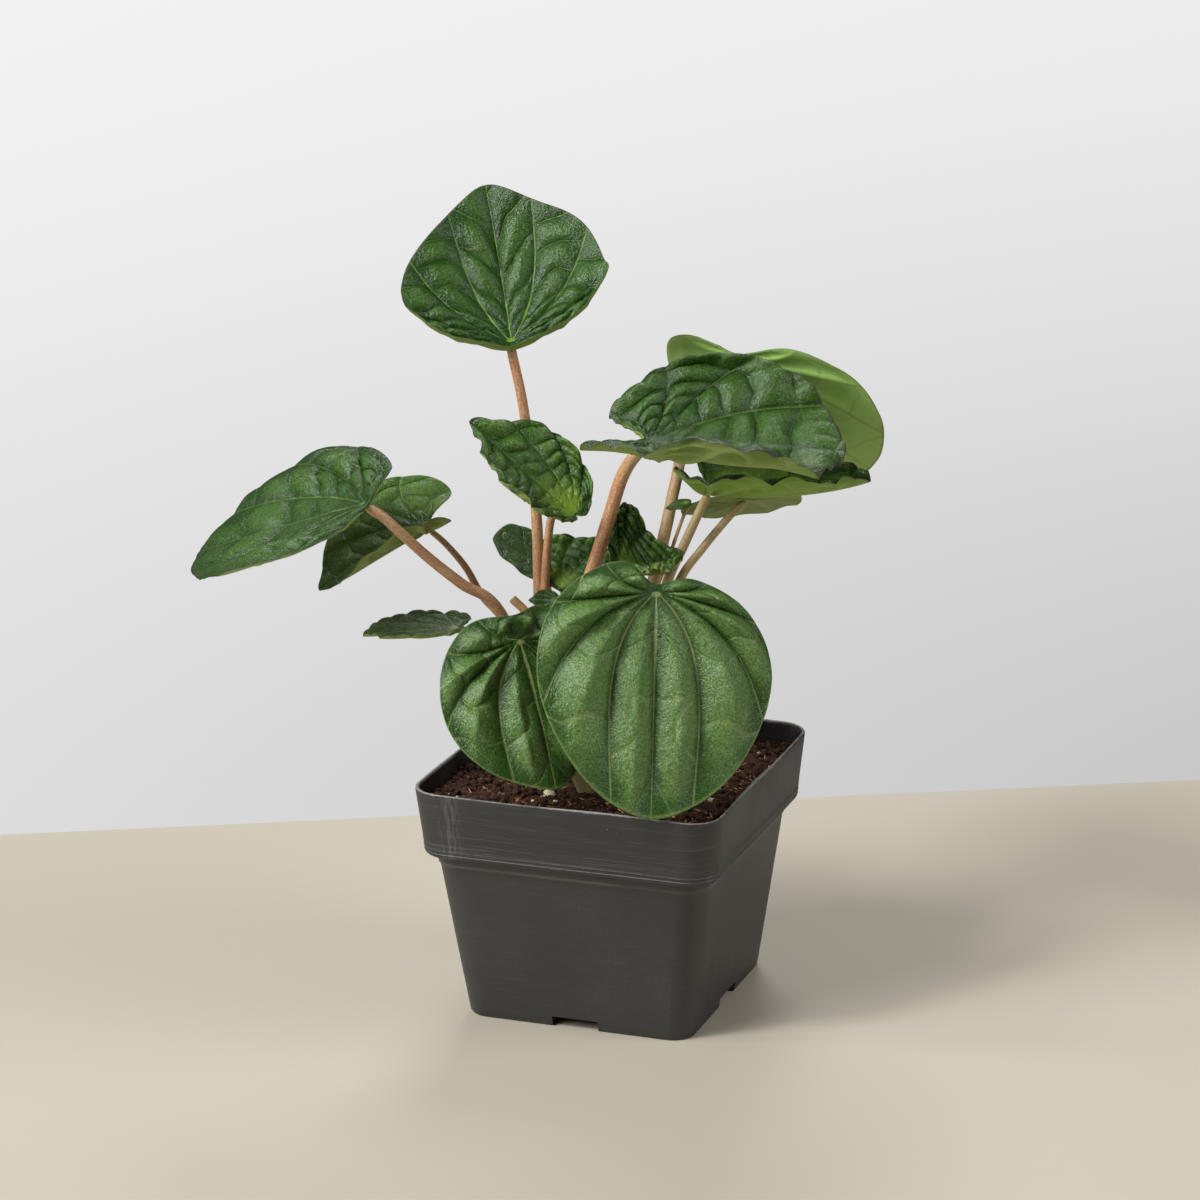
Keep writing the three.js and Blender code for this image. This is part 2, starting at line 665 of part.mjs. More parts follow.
// ---------------------------------------------------------------------------------------------
// The plant
// ---------------------------------------------------------------------------------------------
const LOOKS = {
  pot: { color: 0x3a3a3c, roughness: 0.55, metalness: 0 },
  soil: { color: 0x3b2a22, roughness: 1, metalness: 0 },
  stem: { color: 0xb07f5c, roughness: 0.6, metalness: 0 },
  blade: { color: 0x35592f, roughness: 0.4, metalness: 0 },
};

const plant = new THREE.Group();

function put(name, geometry, look) {
  const material = new THREE.MeshStandardMaterial({ ...LOOKS[look], flatShading: true });
  const mesh = new THREE.Mesh(geometry, material);
  mesh.name = name;
  plant.add(mesh);
}

put("pot", geometryOf(potSolid()), "pot");
put("soil", geometryOf(soilSolid()), "soil");
for (const name of Object.keys(STEMS)) put(name, geometryOf(stemSolid(name)), "stem");
for (const [name, leaf] of Object.entries(LEAVES)) put(name, bladeGeometry(leaf, BLADE), "blade");

export default plant;
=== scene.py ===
# %% [markdown]
# # A potted peperomia
# A small house plant: heart-shaped, puckered leaves on terracotta stalks, in a square nursery pot.
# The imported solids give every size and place. This lesson grows finer pieces over them, one kind
# at a time: camera, floor and light, pot, stems, leaves and at last the soil.

# %% Load the frame
import math

import bmesh
import bpy
import numpy as np
from mathutils import Matrix, Vector, noise
from mathutils.kdtree import KDTree


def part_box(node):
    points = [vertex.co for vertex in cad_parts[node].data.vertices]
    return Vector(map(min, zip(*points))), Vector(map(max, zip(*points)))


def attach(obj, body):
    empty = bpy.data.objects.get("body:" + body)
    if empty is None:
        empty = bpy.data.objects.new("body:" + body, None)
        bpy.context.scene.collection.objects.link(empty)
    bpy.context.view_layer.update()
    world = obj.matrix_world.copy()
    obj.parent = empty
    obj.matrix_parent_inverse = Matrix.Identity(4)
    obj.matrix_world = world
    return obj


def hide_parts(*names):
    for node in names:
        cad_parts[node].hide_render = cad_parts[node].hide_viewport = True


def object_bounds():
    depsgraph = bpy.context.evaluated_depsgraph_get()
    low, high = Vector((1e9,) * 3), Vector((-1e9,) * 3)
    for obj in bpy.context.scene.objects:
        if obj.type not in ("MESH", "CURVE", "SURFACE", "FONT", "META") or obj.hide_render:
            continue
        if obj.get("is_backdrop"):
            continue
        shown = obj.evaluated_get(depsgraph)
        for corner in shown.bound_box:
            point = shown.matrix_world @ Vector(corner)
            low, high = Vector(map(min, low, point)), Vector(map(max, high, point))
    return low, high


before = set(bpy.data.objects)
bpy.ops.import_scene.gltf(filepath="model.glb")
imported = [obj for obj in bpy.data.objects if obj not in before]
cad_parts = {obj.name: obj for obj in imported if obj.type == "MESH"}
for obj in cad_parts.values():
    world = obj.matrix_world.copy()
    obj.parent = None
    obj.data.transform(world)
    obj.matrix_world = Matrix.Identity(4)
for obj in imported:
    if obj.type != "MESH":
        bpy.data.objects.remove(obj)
cad_low, cad_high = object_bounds()
MM = 0.001
scene = bpy.context.scene
print("solids:", len(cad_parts), "reach in mm:", [round(v / MM) for v in cad_high - cad_low])

# %% [markdown]
# ## Camera
# The real view is a long lens, a little above the rim, turned so that two sides of the pot show.
# A camera can be aimed with a constraint, but written as three axes and a distance it says
# exactly where it stands, and its small roll is kept too.

# %% Camera
CAMERA_TURN = math.radians(20.131)
CAMERA_RISE = math.radians(17.665)
CAMERA_ROLL = math.radians(-0.658)
CAMERA_DISTANCE = 1543.0
CAMERA_SHIFT = -3.55
CAMERA_AIM_HEIGHT = 128.26
LENS = 150
SENSOR = 36
SIGHT = 50


def add_camera():
    back = Vector((
        math.sin(CAMERA_TURN) * math.cos(CAMERA_RISE),
        -math.cos(CAMERA_TURN) * math.cos(CAMERA_RISE),
        math.sin(CAMERA_RISE),
    ))
    level = Vector((math.cos(CAMERA_TURN), math.sin(CAMERA_TURN), 0))
    up = back.cross(level)
    right = math.cos(CAMERA_ROLL) * level + math.sin(CAMERA_ROLL) * up
    up = back.cross(right)
    place = back * CAMERA_DISTANCE + level * CAMERA_SHIFT + Vector((0, 0, CAMERA_AIM_HEIGHT))
    data = bpy.data.cameras.new("camera")
    data.lens = LENS
    data.sensor_width = SENSOR
    data.clip_end = SIGHT
    camera = bpy.data.objects.new("camera", data)
    scene.collection.objects.link(camera)
    turned = Matrix((right, up, back)).transposed().to_4x4()
    camera.matrix_world = Matrix.Translation(place * MM) @ turned
    scene.camera = camera
    return camera


camera = add_camera()
print("camera at", [round(v, 3) for v in camera.matrix_world.translation])

# %% [markdown]
# ## Node trees as sums
# Shaders and geometry rules are both node trees. Placed by hand, a formula of twenty Math nodes is
# hard to read. Here a small class wraps a socket, so that a formula is written as a formula: each
# operator adds its Math node and gives back that node's result.


# %% Sums on sockets
class Value:
    """A socket that can stand in a sum. Each operator adds its Math node."""

    def __init__(self, graph, socket):
        self.graph = graph
        self.socket = socket

    def maths(self, operation, *others):
        return self.graph.node("ShaderNodeMath", {"operation": operation}, [self, *others])

    def __add__(self, other):
        return self.maths("ADD", other)

    def __sub__(self, other):
        return self.maths("SUBTRACT", other)

    def __mul__(self, other):
        return self.maths("MULTIPLY", other)

    def __truediv__(self, other):
        return self.maths("DIVIDE", other)

    def __pow__(self, other):
        return self.maths("POWER", other)

    def __rsub__(self, other):
        return self.graph.node("ShaderNodeMath", {"operation": "SUBTRACT"}, [other, self])

    def __rtruediv__(self, other):
        return self.graph.node("ShaderNodeMath", {"operation": "DIVIDE"}, [other, self])

    __radd__ = __add__
    __rmul__ = __mul__

    def other(self, name):
        """Another output of the node that this value comes from."""
        return Value(self.graph, self.socket.node.outputs[name])

    def step(self, low, high):
        """0 below low, 1 above high and a smooth ramp between; low may be the larger."""
        settings = {"interpolation_type": "SMOOTHSTEP"}
        if low < high:
            return self.graph.node("ShaderNodeMapRange", settings, [self, low, high, 0.0, 1.0])
        return self.graph.node("ShaderNodeMapRange", settings, [self, high, low, 1.0, 0.0])

    def bell(self, width):
        """1 where the value is 0, fading over about that width."""
        scaled = self / width
        return (scaled * scaled * -1.0).maths("EXPONENT")

    def to_whole(self):
        """How far away the nearest whole number is: 0 on it, 0.5 half way between two."""
        return 0.5 - (self.maths("FRACT") - 0.5).maths("ABSOLUTE")


print("a socket takes +, -, *, / and **; a plain number may come first in all but the last")

# %% [markdown]
# ### One way to add a node
# Every other node comes from one method. It takes the node's type, its settings, such as an
# operation, and then the values or links of its sockets, by name or by number. A few nodes that
# are wanted often, such as noise, get a short name of their own.


# %% A node tree
class Graph:
    """A node tree, with one way to add a node to it."""

    def __init__(self, tree):
        self.tree = tree

    def node(self, kind, settings=None, sockets=(), output=0):
        node = self.tree.nodes.new(kind)
        for name, value in (settings or {}).items():
            setattr(node, name, value)
        entries = sockets.items() if isinstance(sockets, dict) else enumerate(sockets)
        for key, value in entries:
            for single in value if isinstance(value, list) else [value]:
                if isinstance(single, Value):
                    self.tree.links.new(single.socket, node.inputs[key])
                elif single is not None:
                    node.inputs[key].default_value = single
        return Value(self, node.outputs[output])

    def vector(self, x, y, z):
        return self.node("ShaderNodeCombineXYZ", None, [x, y, z])

    def split(self, vector):
        x = self.node("ShaderNodeSeparateXYZ", None, [vector])
        return x, x.other("Y"), x.other("Z")

    def scaled(self, vector, size):
        return self.node("ShaderNodeVectorMath", {"operation": "SCALE"}, {0: vector, 3: size})

    def noise(self, where, scale, detail=2.0, roughness=0.5):
        sockets = {"Vector": where, "Scale": scale, "Detail": detail, "Roughness": roughness}
        return self.node("ShaderNodeTexNoise", None, sockets)


trial = Graph(bpy.data.node_groups.new("trial", "ShaderNodeTree"))
trial_sum = 1 - trial.node("ShaderNodeValue") * 2
print("the sum 1 - value * 2 makes", len(trial_sum.graph.tree.nodes), "nodes")
bpy.data.node_groups.remove(trial.tree)

# %% [markdown]
# ## Finishes
# A finish is a Principled shader whose colour, roughness and bump come from sums. Object
# coordinates are metres here, so they are turned into millimetres once, and every scale below is
# a real size.


# %% A finish
class Finish(Graph):
    """A procedural material for one kind of surface."""

    def __init__(self, name):
        self.material = bpy.data.materials.new(name)
        self.material.use_nodes = True
        super().__init__(self.material.node_tree)
        self.shader = self.tree.nodes["Principled BSDF"]
        self.place = self.scaled(self.node("ShaderNodeTexCoord", output="Object"), 1 / MM)

    def attribute(self, name, output="Fac"):
        return self.node("ShaderNodeAttribute", {"attribute_name": name}, output=output)

    def mix(self, share, first, second):
        """A colour between two: colours are (r, g, b) or values."""
        first, second = [c if isinstance(c, Value) else (*c, 1) for c in (first, second)]
        sockets = {0: share, 6: first, 7: second}
        return self.node("ShaderNodeMix", {"data_type": "RGBA"}, sockets, output=2)

    def stretched(self, where, x, y, z):
        settings = {"operation": "MULTIPLY"}
        return self.node("ShaderNodeVectorMath", settings, {0: where, 1: (x, y, z)})

    def set(self, socket, value):
        if isinstance(value, Value):
            self.tree.links.new(value.socket, self.shader.inputs[socket])
        else:
            self.shader.inputs[socket].default_value = value

    def bump(self, height, depth):
        """Turns a height, 0 to 1, into bumps of that depth in millimetres."""
        sockets = {"Height": height, "Distance": depth * MM, "Strength": 1.0}
        self.set("Normal", self.node("ShaderNodeBump", None, sockets))


print("finishes are drawn in millimetres, so Object coordinates are scaled by", 1 / MM)


# %% [markdown]
# ## Floor
# The plant stands on a pale, slightly warm table top whose far edge shows behind it. A backdrop
# that curves up would hide that edge. One flat face is enough, turned so that its edge rises to
# the right as in the view. It is a stage for the picture and no part of the plant.

# %% Floor
FLOOR_BACK = 0.183
FLOOR_TILT = math.radians(5.72)
FLOOR_REACH = 3.0
TABLE_TONE = (0.50, 0.455, 0.365, 1)


def add_floor():
    slope = math.tan(CAMERA_TURN + FLOOR_TILT)
    corners = [
        (-FLOOR_REACH, -FLOOR_REACH, 0),
        (FLOOR_REACH, -FLOOR_REACH, 0),
        (FLOOR_REACH, FLOOR_BACK + slope * FLOOR_REACH, 0),
        (-FLOOR_REACH, FLOOR_BACK - slope * FLOOR_REACH, 0),
    ]
    mesh = bpy.data.meshes.new("floor")
    mesh.from_pydata(corners, [], [(0, 1, 2, 3)])
    floor = bpy.data.objects.new("floor", mesh)
    scene.collection.objects.link(floor)
    finish = Finish("pale_table")
    finish.set("Base Color", TABLE_TONE)
    finish.set("Roughness", 0.55)
    mesh.materials.append(finish.material)
    floor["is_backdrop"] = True
    return floor


floor = add_floor()
print("floor reaches", FLOOR_BACK, "m behind the pot")

# %% [markdown]
# ## Lamps
# A leaf like this is puckered and glossy. Large soft boxes roll gently over its puffs and give
# soft shadows, but small lamps are needed as well, for the bright glints on the ridges. So there
# is a large box and two small lamps on the left, a weaker box on the right and one behind.

# %% Lamps
LAMP_AIM = Vector((0, 0, 0.12))
LAMPS = {
    "soft_box_left": {"place": (-1.15, -1.5, 1.3), "size": 1.3, "power": 32},
    "bright_lamp_front": {"place": (-0.9, -1.15, 1.65), "size": 0.4, "power": 20},
    "glint_lamp_left": {"place": (-1.5, -0.7, 1.25), "size": 0.25, "power": 7},
    "soft_box_right": {"place": (1.6, 0.15, 1.1), "size": 1.1, "power": 15},
    "soft_box_back": {"place": (-0.3, 1.3, 1.5), "size": 0.8, "power": 12},
}


def add_lamp(name, place, size, power):
    data = bpy.data.lights.new(name, "AREA")
    data.shape = "DISK"
    data.size = size
    data.energy = power
    lamp = bpy.data.objects.new(name, data)
    scene.collection.objects.link(lamp)
    lamp.location = place
    lamp.rotation_euler = (LAMP_AIM - Vector(place)).to_track_quat("-Z", "Y").to_euler()


for name, row in LAMPS.items():
    add_lamp(name, **row)
print("lamps:", ", ".join(LAMPS), "with", sum(row["power"] for row in LAMPS.values()), "W in all")

# %% [markdown]
# ## Room
# The wall is far away and out of focus, a little darker below and to the right. A real wall would
# need lamps of its own, so the world stands in for it. A Light Path node tells it apart: what the
# camera sees is the wall, and what falls on the plant is a dim room, lighter on the window side.

# %% Room
LIGHT_SIDE = (-0.70, -0.45, 0.55)
DARK_SIDE = (0.60, -0.78, -0.15)
RIGHT_SIDE = (math.cos(CAMERA_TURN), math.sin(CAMERA_TURN), 0)
WALL_LOW = 0.64
WALL_HIGH = 0.87
FILL_DIM = 0.07
FILL_BRIGHT = 0.24


def add_room():
    world = bpy.data.worlds.new("room")
    world.use_nodes = True
    graph = Graph(world.node_tree)
    direction = graph.node("ShaderNodeTexCoord", output="Generated")
    height = graph.split(direction)[2]
    settings = {"operation": "DOT_PRODUCT"}
    light, dark, right = (
        graph.node("ShaderNodeVectorMath", settings, {0: direction, 1: side}, output="Value")
        for side in (LIGHT_SIDE, DARK_SIDE, RIGHT_SIDE)
    )
    right = right.maths("MINIMUM", 0.15).maths("MAXIMUM", -0.15)
    up = height.step(-0.36, -0.17)
    wall = up * (WALL_HIGH - WALL_LOW) + WALL_LOW - right * (0.62 - up * 0.42)
    glow = light.step(-0.4, 1.0) * (FILL_BRIGHT - FILL_DIM) + FILL_DIM
    glow = glow * (1.0 - dark.step(0.4, 1.0) * 0.8)
    camera_ray = graph.node("ShaderNodeLightPath")
    strength = camera_ray * (wall - glow) + glow
    background = world.node_tree.nodes["Background"]
    background.inputs["Color"].default_value = (1, 1, 1, 1)
    world.node_tree.links.new(strength.socket, background.inputs["Strength"])
    scene.world = world


add_room()
scene.view_settings.view_transform = "Standard"
print("wall strength", WALL_LOW, "to", WALL_HIGH, "and fill", FILL_DIM, "to", FILL_BRIGHT)

# %% [markdown]
# ## Pot
# The pot is one thin blown sheet of charcoal plastic: a tapered square with round corners, a
# wider band at the rim, two fine lines where the band ends and a faint step below. It could be
# cut from boxes, but a stack of rounded squares, each with its own width, corner and height,
# follows the mould and keeps the wall thin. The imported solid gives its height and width.

# %% Pot sizes, in millimetres
pot_low, pot_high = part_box("pot")
POT_HEIGHT = pot_high.z / MM
POT_TOP = (pot_high.x - pot_low.x) / MM
POT_BASE = 0.74 * POT_TOP
BODY_TOP = 0.89 * POT_TOP
BAND_WIDTH = 0.954 * POT_TOP
BAND_Z = 55.2
STEP_Z = 51.0
STEP = 0.35
WALL = 1.4
FLOOR_THICK = 1.8
CORNER_TOP = 9.6
CORNER_BASE = 7.4
NOTCH_WIDTH = 15.0
NOTCH_HEIGHT = 3.4
NOTCH_DEPTH = 12.0
DRAIN_HOLE = 5.0
SMOOTH_BELOW = math.radians(32)
print("pot", round(POT_TOP, 1), "mm across and", round(POT_HEIGHT, 1), "mm high")

# %% [markdown]
# ### Pot profile
# One row of the profile is a rounded square: its width, corner radius and height. The outside
# goes up from the foot over the step, the band's lower edge and its two fine beads to the lip;
# the inside comes down again to the floor. Rows lie closer where the wall turns.


# %% Pot profile
def body_width(z):
    return POT_BASE + (BODY_TOP - POT_BASE) * z / BAND_Z


def body_corner(z):
    return CORNER_BASE + (CORNER_TOP - 1 - CORNER_BASE) * z / BAND_Z


def band_width(z):
    return BAND_WIDTH + (POT_TOP - BAND_WIDTH) * (z - BAND_Z) / (POT_HEIGHT - BAND_Z)


def outside_rows():
    rows = [(POT_BASE - 1.6, CORNER_BASE - 0.8, 0), (POT_BASE - 0.5, CORNER_BASE - 0.2, 0.2)]
    rows += [(body_width(z), body_corner(z), z) for z in (0.8, 5, 12, 24, 36, 45, STEP_Z - 0.6)]
    for z, out in ((STEP_Z, 0.3), (STEP_Z + 0.5, 0.9), (STEP_Z + 1.2, 1), (BAND_Z - 0.9, 1)):
        rows.append((body_width(z) + 2 * STEP * out, body_corner(z), z))
    rows.append((body_width(BAND_Z) + 2 * STEP + 0.5, body_corner(BAND_Z), BAND_Z - 0.25))
    rows.append((BAND_WIDTH - 1.6, CORNER_TOP - 1, BAND_Z - 0.05))
    lines = ((0.25, -0.5), (0.7, 0), (1.3, 0), (1.5, 0.24), (1.7, 0), (2.6, 0), (2.8, 0.2), (3, 0))
    for z, out in lines:
        rows.append((band_width(BAND_Z + z) + out, CORNER_TOP - 0.3, BAND_Z + z))
    for z in (62, 67, 72, POT_HEIGHT - 1):
        rows.append((band_width(z), CORNER_TOP, z))
    rows.append((POT_TOP - 0.25, CORNER_TOP, POT_HEIGHT - 0.3))
    rows.append((POT_TOP - 0.8, CORNER_TOP - 0.3, POT_HEIGHT))
    return rows


def inside_rows():
    rows = [(POT_TOP - 1.9, CORNER_TOP - 0.8, POT_HEIGHT - 0.1)]
    for z in (POT_HEIGHT - 0.7, 72, 66, BAND_Z + 2.6):
        rows.append((band_width(z) - 2 * WALL, CORNER_TOP - WALL, z))
    for z in (BAND_Z + 1.2, 40, 20, FLOOR_THICK + 1):
        rows.append((body_width(z) - 2 * WALL, body_corner(z) - WALL, z))
    rows.append((body_width(FLOOR_THICK) - 2 * WALL - 2, body_corner(0) - WALL - 1, FLOOR_THICK))
    return rows


print("profile rows:", len(outside_rows()), "up the outside,", len(inside_rows()), "down inside")

# %% [markdown]
# ### Pot wall
# A skin laid over the rings makes the wall. A moulded box from a modeller is dead straight, but
# thin plastic isn't: its sides wander and dip a little, most of all at the free rim. Two or three
# slow waves round the pot, stronger with height, give it that life.

# %% Pot wall
CORNER_STEPS = 10
SIDE_STEPS = 14
RIM_DIP = 0.42
SIDE_WANDER = 0.28
SIDE_RIPPLE = 0.14
LIP_WANDER = 0.22


def square_ring(width, corner, z, side_times=1):
    """Points round a square with round corners, with steps along its sides as well."""
    inner = width / 2 - corner
    side_steps = SIDE_STEPS * side_times
    points = []
    for quarter in range(4):
        turn = Matrix.Rotation(quarter * math.pi / 2, 3, "Z")
        for k in range(CORNER_STEPS):
            a = k / CORNER_STEPS * math.pi / 2
            arc = Vector((inner + corner * math.cos(a), inner + corner * math.sin(a), z))
            points.append(turn @ arc)
        for k in range(side_steps):
            along = inner * (1 - 2 * k / side_steps)
            points.append(turn @ Vector((along, inner + corner, z)))
    return points


def thin_wall_sag(point):
    """The thin sheet isn't true: its sides wander by a few tenths, most at the rim."""
    high = (point.z / POT_HEIGHT) ** 2
    turn = math.atan2(point.y, point.x)
    push = SIDE_WANDER * high * math.sin(3 * turn + 0.8) + SIDE_RIPPLE * high * math.sin(7 * turn)
    lift = LIP_WANDER * high * math.sin(5 * turn + 2.0) * (point.z > POT_HEIGHT - 2)
    out = Vector((point.x, point.y, 0)).normalized()
    return point + out * (push - RIM_DIP * high) + Vector((0, 0, lift - LIP_WANDER * high))


def loft(name, rings):
    """A closed skin over rings of equal length, with a flat face at both ends."""
    work = bmesh.new()
    rows = [[work.verts.new(p * MM) for p in ring] for ring in rings]
    count = len(rows[0])
    for low, high in zip(rows, rows[1:]):
        for i in range(count):
            j = (i + 1) % count
            work.faces.new((low[i], low[j], high[j], high[i]))
    work.faces.new(list(reversed(rows[0])))
    work.faces.new(rows[-1])
    mesh = bpy.data.meshes.new(name)
    work.to_mesh(mesh)
    work.free()
    piece = bpy.data.objects.new(name, mesh)
    scene.collection.objects.link(piece)
    return piece


rings = []
for width, corner, z in outside_rows() + inside_rows():
    rings.append([thin_wall_sag(p) for p in square_ring(width, corner, z)])
pot = loft("nursery_pot", rings)
print("pot wall:", len(rings), "rings of", len(rings[0]), "points")

# %% [markdown]
# ### Drain notches
# Each side has a notch in its foot, roofed over inside, with a round hole in the roof, so that
# water drains sideways. What is added and what is cut away are plain blocks and cones, made four
# times, a quarter turn apart.


# %% Notch shapes
def block(work, size, place, turn):
    made = bmesh.ops.create_cube(work, size=1.0)["verts"]
    shape = Matrix.Translation(place) @ Matrix.Diagonal((*size, 1))
    bmesh.ops.transform(work, matrix=turn @ shape, verts=made)


def four_sides(name, add):
    """A helper object with something added at the foot of each of the four sides."""
    work = bmesh.new()
    for quarter in range(4):
        add(work, Matrix.Rotation(quarter * math.pi / 2, 4, "Z"))
    bmesh.ops.scale(work, vec=(MM, MM, MM), verts=work.verts)
    mesh = bpy.data.meshes.new(name)
    work.to_mesh(mesh)
    work.free()
    helper = bpy.data.objects.new(name, mesh)
    scene.collection.objects.link(helper)
    return helper


def add_roof(work, turn):
    depth = NOTCH_DEPTH + WALL - 0.5
    height = NOTCH_HEIGHT + WALL - 0.5
    place = (0, (0.5 + NOTCH_DEPTH + WALL) / 2 - POT_BASE / 2, 0.5 + height / 2)
    block(work, (NOTCH_WIDTH + 2 * WALL, depth, height), place, turn)


def add_cut(work, turn):
    place = (0, (NOTCH_DEPTH - 5) / 2 - POT_BASE / 2, (NOTCH_HEIGHT - 1) / 2)
    block(work, (NOTCH_WIDTH, NOTCH_DEPTH + 5, NOTCH_HEIGHT + 1), place, turn)
    place = (0, NOTCH_DEPTH / 2 - POT_BASE / 2, NOTCH_HEIGHT + WALL)
    shape = turn @ Matrix.Translation(place)
    radius = DRAIN_HOLE / 2
    bmesh.ops.create_cone(
        work, cap_ends=True, segments=24, radius1=radius, radius2=radius, depth=5, matrix=shape
    )


roofs = four_sides("notch_roofs", add_roof)
cuts = four_sides("notch_cuts", add_cut)
print("notch helpers:", len(roofs.data.vertices), "and", len(cuts.data.vertices), "points")

# %% [markdown]
# ### Join and cut
# Booleans are the plain way to join and cut. All roofs are joined in one go and all notches and
# holes cut in another, because each Boolean costs time. The modifiers' result then becomes the
# pot's own mesh, and only edges sharper than a limit stay sharp.


# %% Join and cut
def boolean(piece, helper, operation):
    modifier = piece.modifiers.new("cut", "BOOLEAN")
    modifier.operation = operation
    modifier.solver = "EXACT"
    modifier.object = helper


def settle(piece):
    """Makes what the modifiers give the piece's own mesh."""
    depsgraph = bpy.context.evaluated_depsgraph_get()
    mesh = bpy.data.meshes.new_from_object(piece.evaluated_get(depsgraph), depsgraph=depsgraph)
    piece.modifiers.clear()
    piece.data = mesh
    return mesh


boolean(pot, roofs, "UNION")
boolean(pot, cuts, "DIFFERENCE")
settle(pot)
for helper in (roofs, cuts):
    bpy.data.objects.remove(helper)
pot.data.shade_smooth()
pot.data.set_sharp_from_angle(angle=SMOOTH_BELOW)
print("pot faces:", len(pot.data.polygons))


# %% [markdown]
# ### Charcoal plastic
# Nursery plastic is nearly black with a satin gloss. Handling leaves pale dust, long fine
# scratches that run round the band, and a scuffed rim. The lip edge also has a painted highlight,
# and the two beads and the step below the band carry thin painted highlight lines. A flat grey
# would look like a drawing, so dust and scratches change both colour and roughness.

# %% Charcoal plastic
# bead_highlight is a painted highlight for the beads and the step, not a colour of the plastic.
PLASTIC = {
    "clean": (0.025, 0.024, 0.0235), "dusty": (0.056, 0.054, 0.051),
    "band": (0.014, 0.0135, 0.013), "scratch": (0.11, 0.105, 0.10),
    "bead_highlight": (0.13, 0.127, 0.122), "scuff": (0.20, 0.195, 0.19), "rim": (0.34, 0.34, 0.33),
}


def charcoal_plastic():
    finish = Finish("charcoal_plastic")
    x, y, z = finish.split(finish.place)
    cloud = finish.noise(finish.place, 0.035, 4.0)
    grain = finish.noise(finish.place, 1.6, 3.0)
    level = finish.stretched(finish.place, 0.035, 0.035, 2.6)
    scratch = finish.noise(level, 1.0, 5.0, 0.7)
    on_band = z.step(BAND_Z - 1, BAND_Z + 1)
    lines = scratch.step(0.52, 0.72) * (on_band * 0.7 + 0.3)
    dust = cloud.step(0.42, 0.75) * grain.step(0.3, 0.7)
    ragged = finish.noise(finish.place, 0.5, 3.0)
    # The lip edge is lighter: partly scuff, partly a painted highlight along the top of the lip.
    rim = (z + ragged * 0.8).step(POT_HEIGHT - 0.35, POT_HEIGHT + 0.15)
    # Painted highlight lines: the two beads under the band and the step below it are lightened.
    bead_highlights = (z - BAND_Z - 1.5).bell(0.25) + (z - BAND_Z - 2.8).bell(0.25)
    step = (z - STEP_Z - 1.0).bell(0.5)
    painted_line_highlights = bead_highlights * ragged.step(0.3, 0.5) * 0.5 + step * cloud.step(0.25, 0.6)
    scuff = (x + 0.36 * POT_TOP).bell(3.0) * on_band * (y + 0.4 * POT_TOP).step(0, -4)
    upright = finish.noise(finish.stretched(finish.place, 0.9, 0.9, 0.12), 1.0, 4.0, 0.7)
    scuff = scuff * upright.step(0.42, 0.62)
    colour = finish.mix(dust * 0.55, PLASTIC["clean"], PLASTIC["dusty"])
    colour = finish.mix(on_band * 0.35, colour, PLASTIC["band"])
    colour = finish.mix(lines * 0.5, colour, PLASTIC["scratch"])
    colour = finish.mix(painted_line_highlights * 0.55, colour, PLASTIC["bead_highlight"])
    colour = finish.mix(scuff * 0.3, colour, PLASTIC["scuff"])
    colour = finish.mix(rim * 0.55, colour, PLASTIC["rim"])
    finish.set("Base Color", colour)
    finish.set("Roughness", 0.42 + dust * 0.2 + lines * 0.12)
    finish.bump(scratch * 0.5 + grain * 0.5, 0.06)
    return finish.material


pot.data.materials.clear()
pot.data.materials.append(charcoal_plastic())
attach(pot, "root")
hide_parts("pot")
print("pot finished with", pot.data.materials[0].name)

# %% [markdown]
# ## Geometry rules
# What repeats or follows a path is made by Geometry Nodes: a tree with named sizes, run once on a
# helper object, whose result becomes a plain mesh. The helper and its modifier are then gone, so
# the piece is an ordinary mesh from there on.

# %% Rules in the script
SOCKETS = {
    int: "NodeSocketInt", float: "NodeSocketFloat", type(None): "NodeSocketMaterial",
}


def new_rule(name, sizes):
    """A geometry tree with a geometry socket and one socket for each named size."""
    tree = bpy.data.node_groups.new(name, "GeometryNodeTree")
    tree.interface.new_socket("Geometry", in_out="INPUT", socket_type="NodeSocketGeometry")
    tree.interface.new_socket("Geometry", in_out="OUTPUT", socket_type="NodeSocketGeometry")
    for size, default in sizes.items():
        kind = SOCKETS[type(default)]
        socket = tree.interface.new_socket(size, in_out="INPUT", socket_type=kind)
        socket.default_value = default
    graph = Graph(tree)
    start = tree.nodes.new("NodeGroupInput")
    values = {s.name: Value(graph, s) for s in start.outputs if s.name}
    return graph, values


def read(graph, name):
    settings = {"data_type": "FLOAT"}
    return graph.node("GeometryNodeInputNamedAttribute", settings, {"Name": name})


def end_rule(graph, geometry, material, under=None):
    """Every rule ends alike: real geometry, smooth, with its material, or one for each face."""
    real = graph.node("GeometryNodeRealizeInstances", None, {"Geometry": geometry})
    smooth = graph.node("GeometryNodeSetShadeSmooth", None, {"Geometry": real})
    sockets = {"Geometry": smooth, "Material": material}
    dressed = graph.node("GeometryNodeSetMaterial", None, sockets)
    if under:
        below = read(graph, "under").maths("GREATER_THAN", 0.5)
        sockets = {"Geometry": dressed, "Selection": below, "Material": under}
        dressed = graph.node("GeometryNodeSetMaterial", None, sockets)
    end = graph.tree.nodes.new("NodeGroupOutput")
    graph.tree.links.new(dressed.socket, end.inputs["Geometry"])


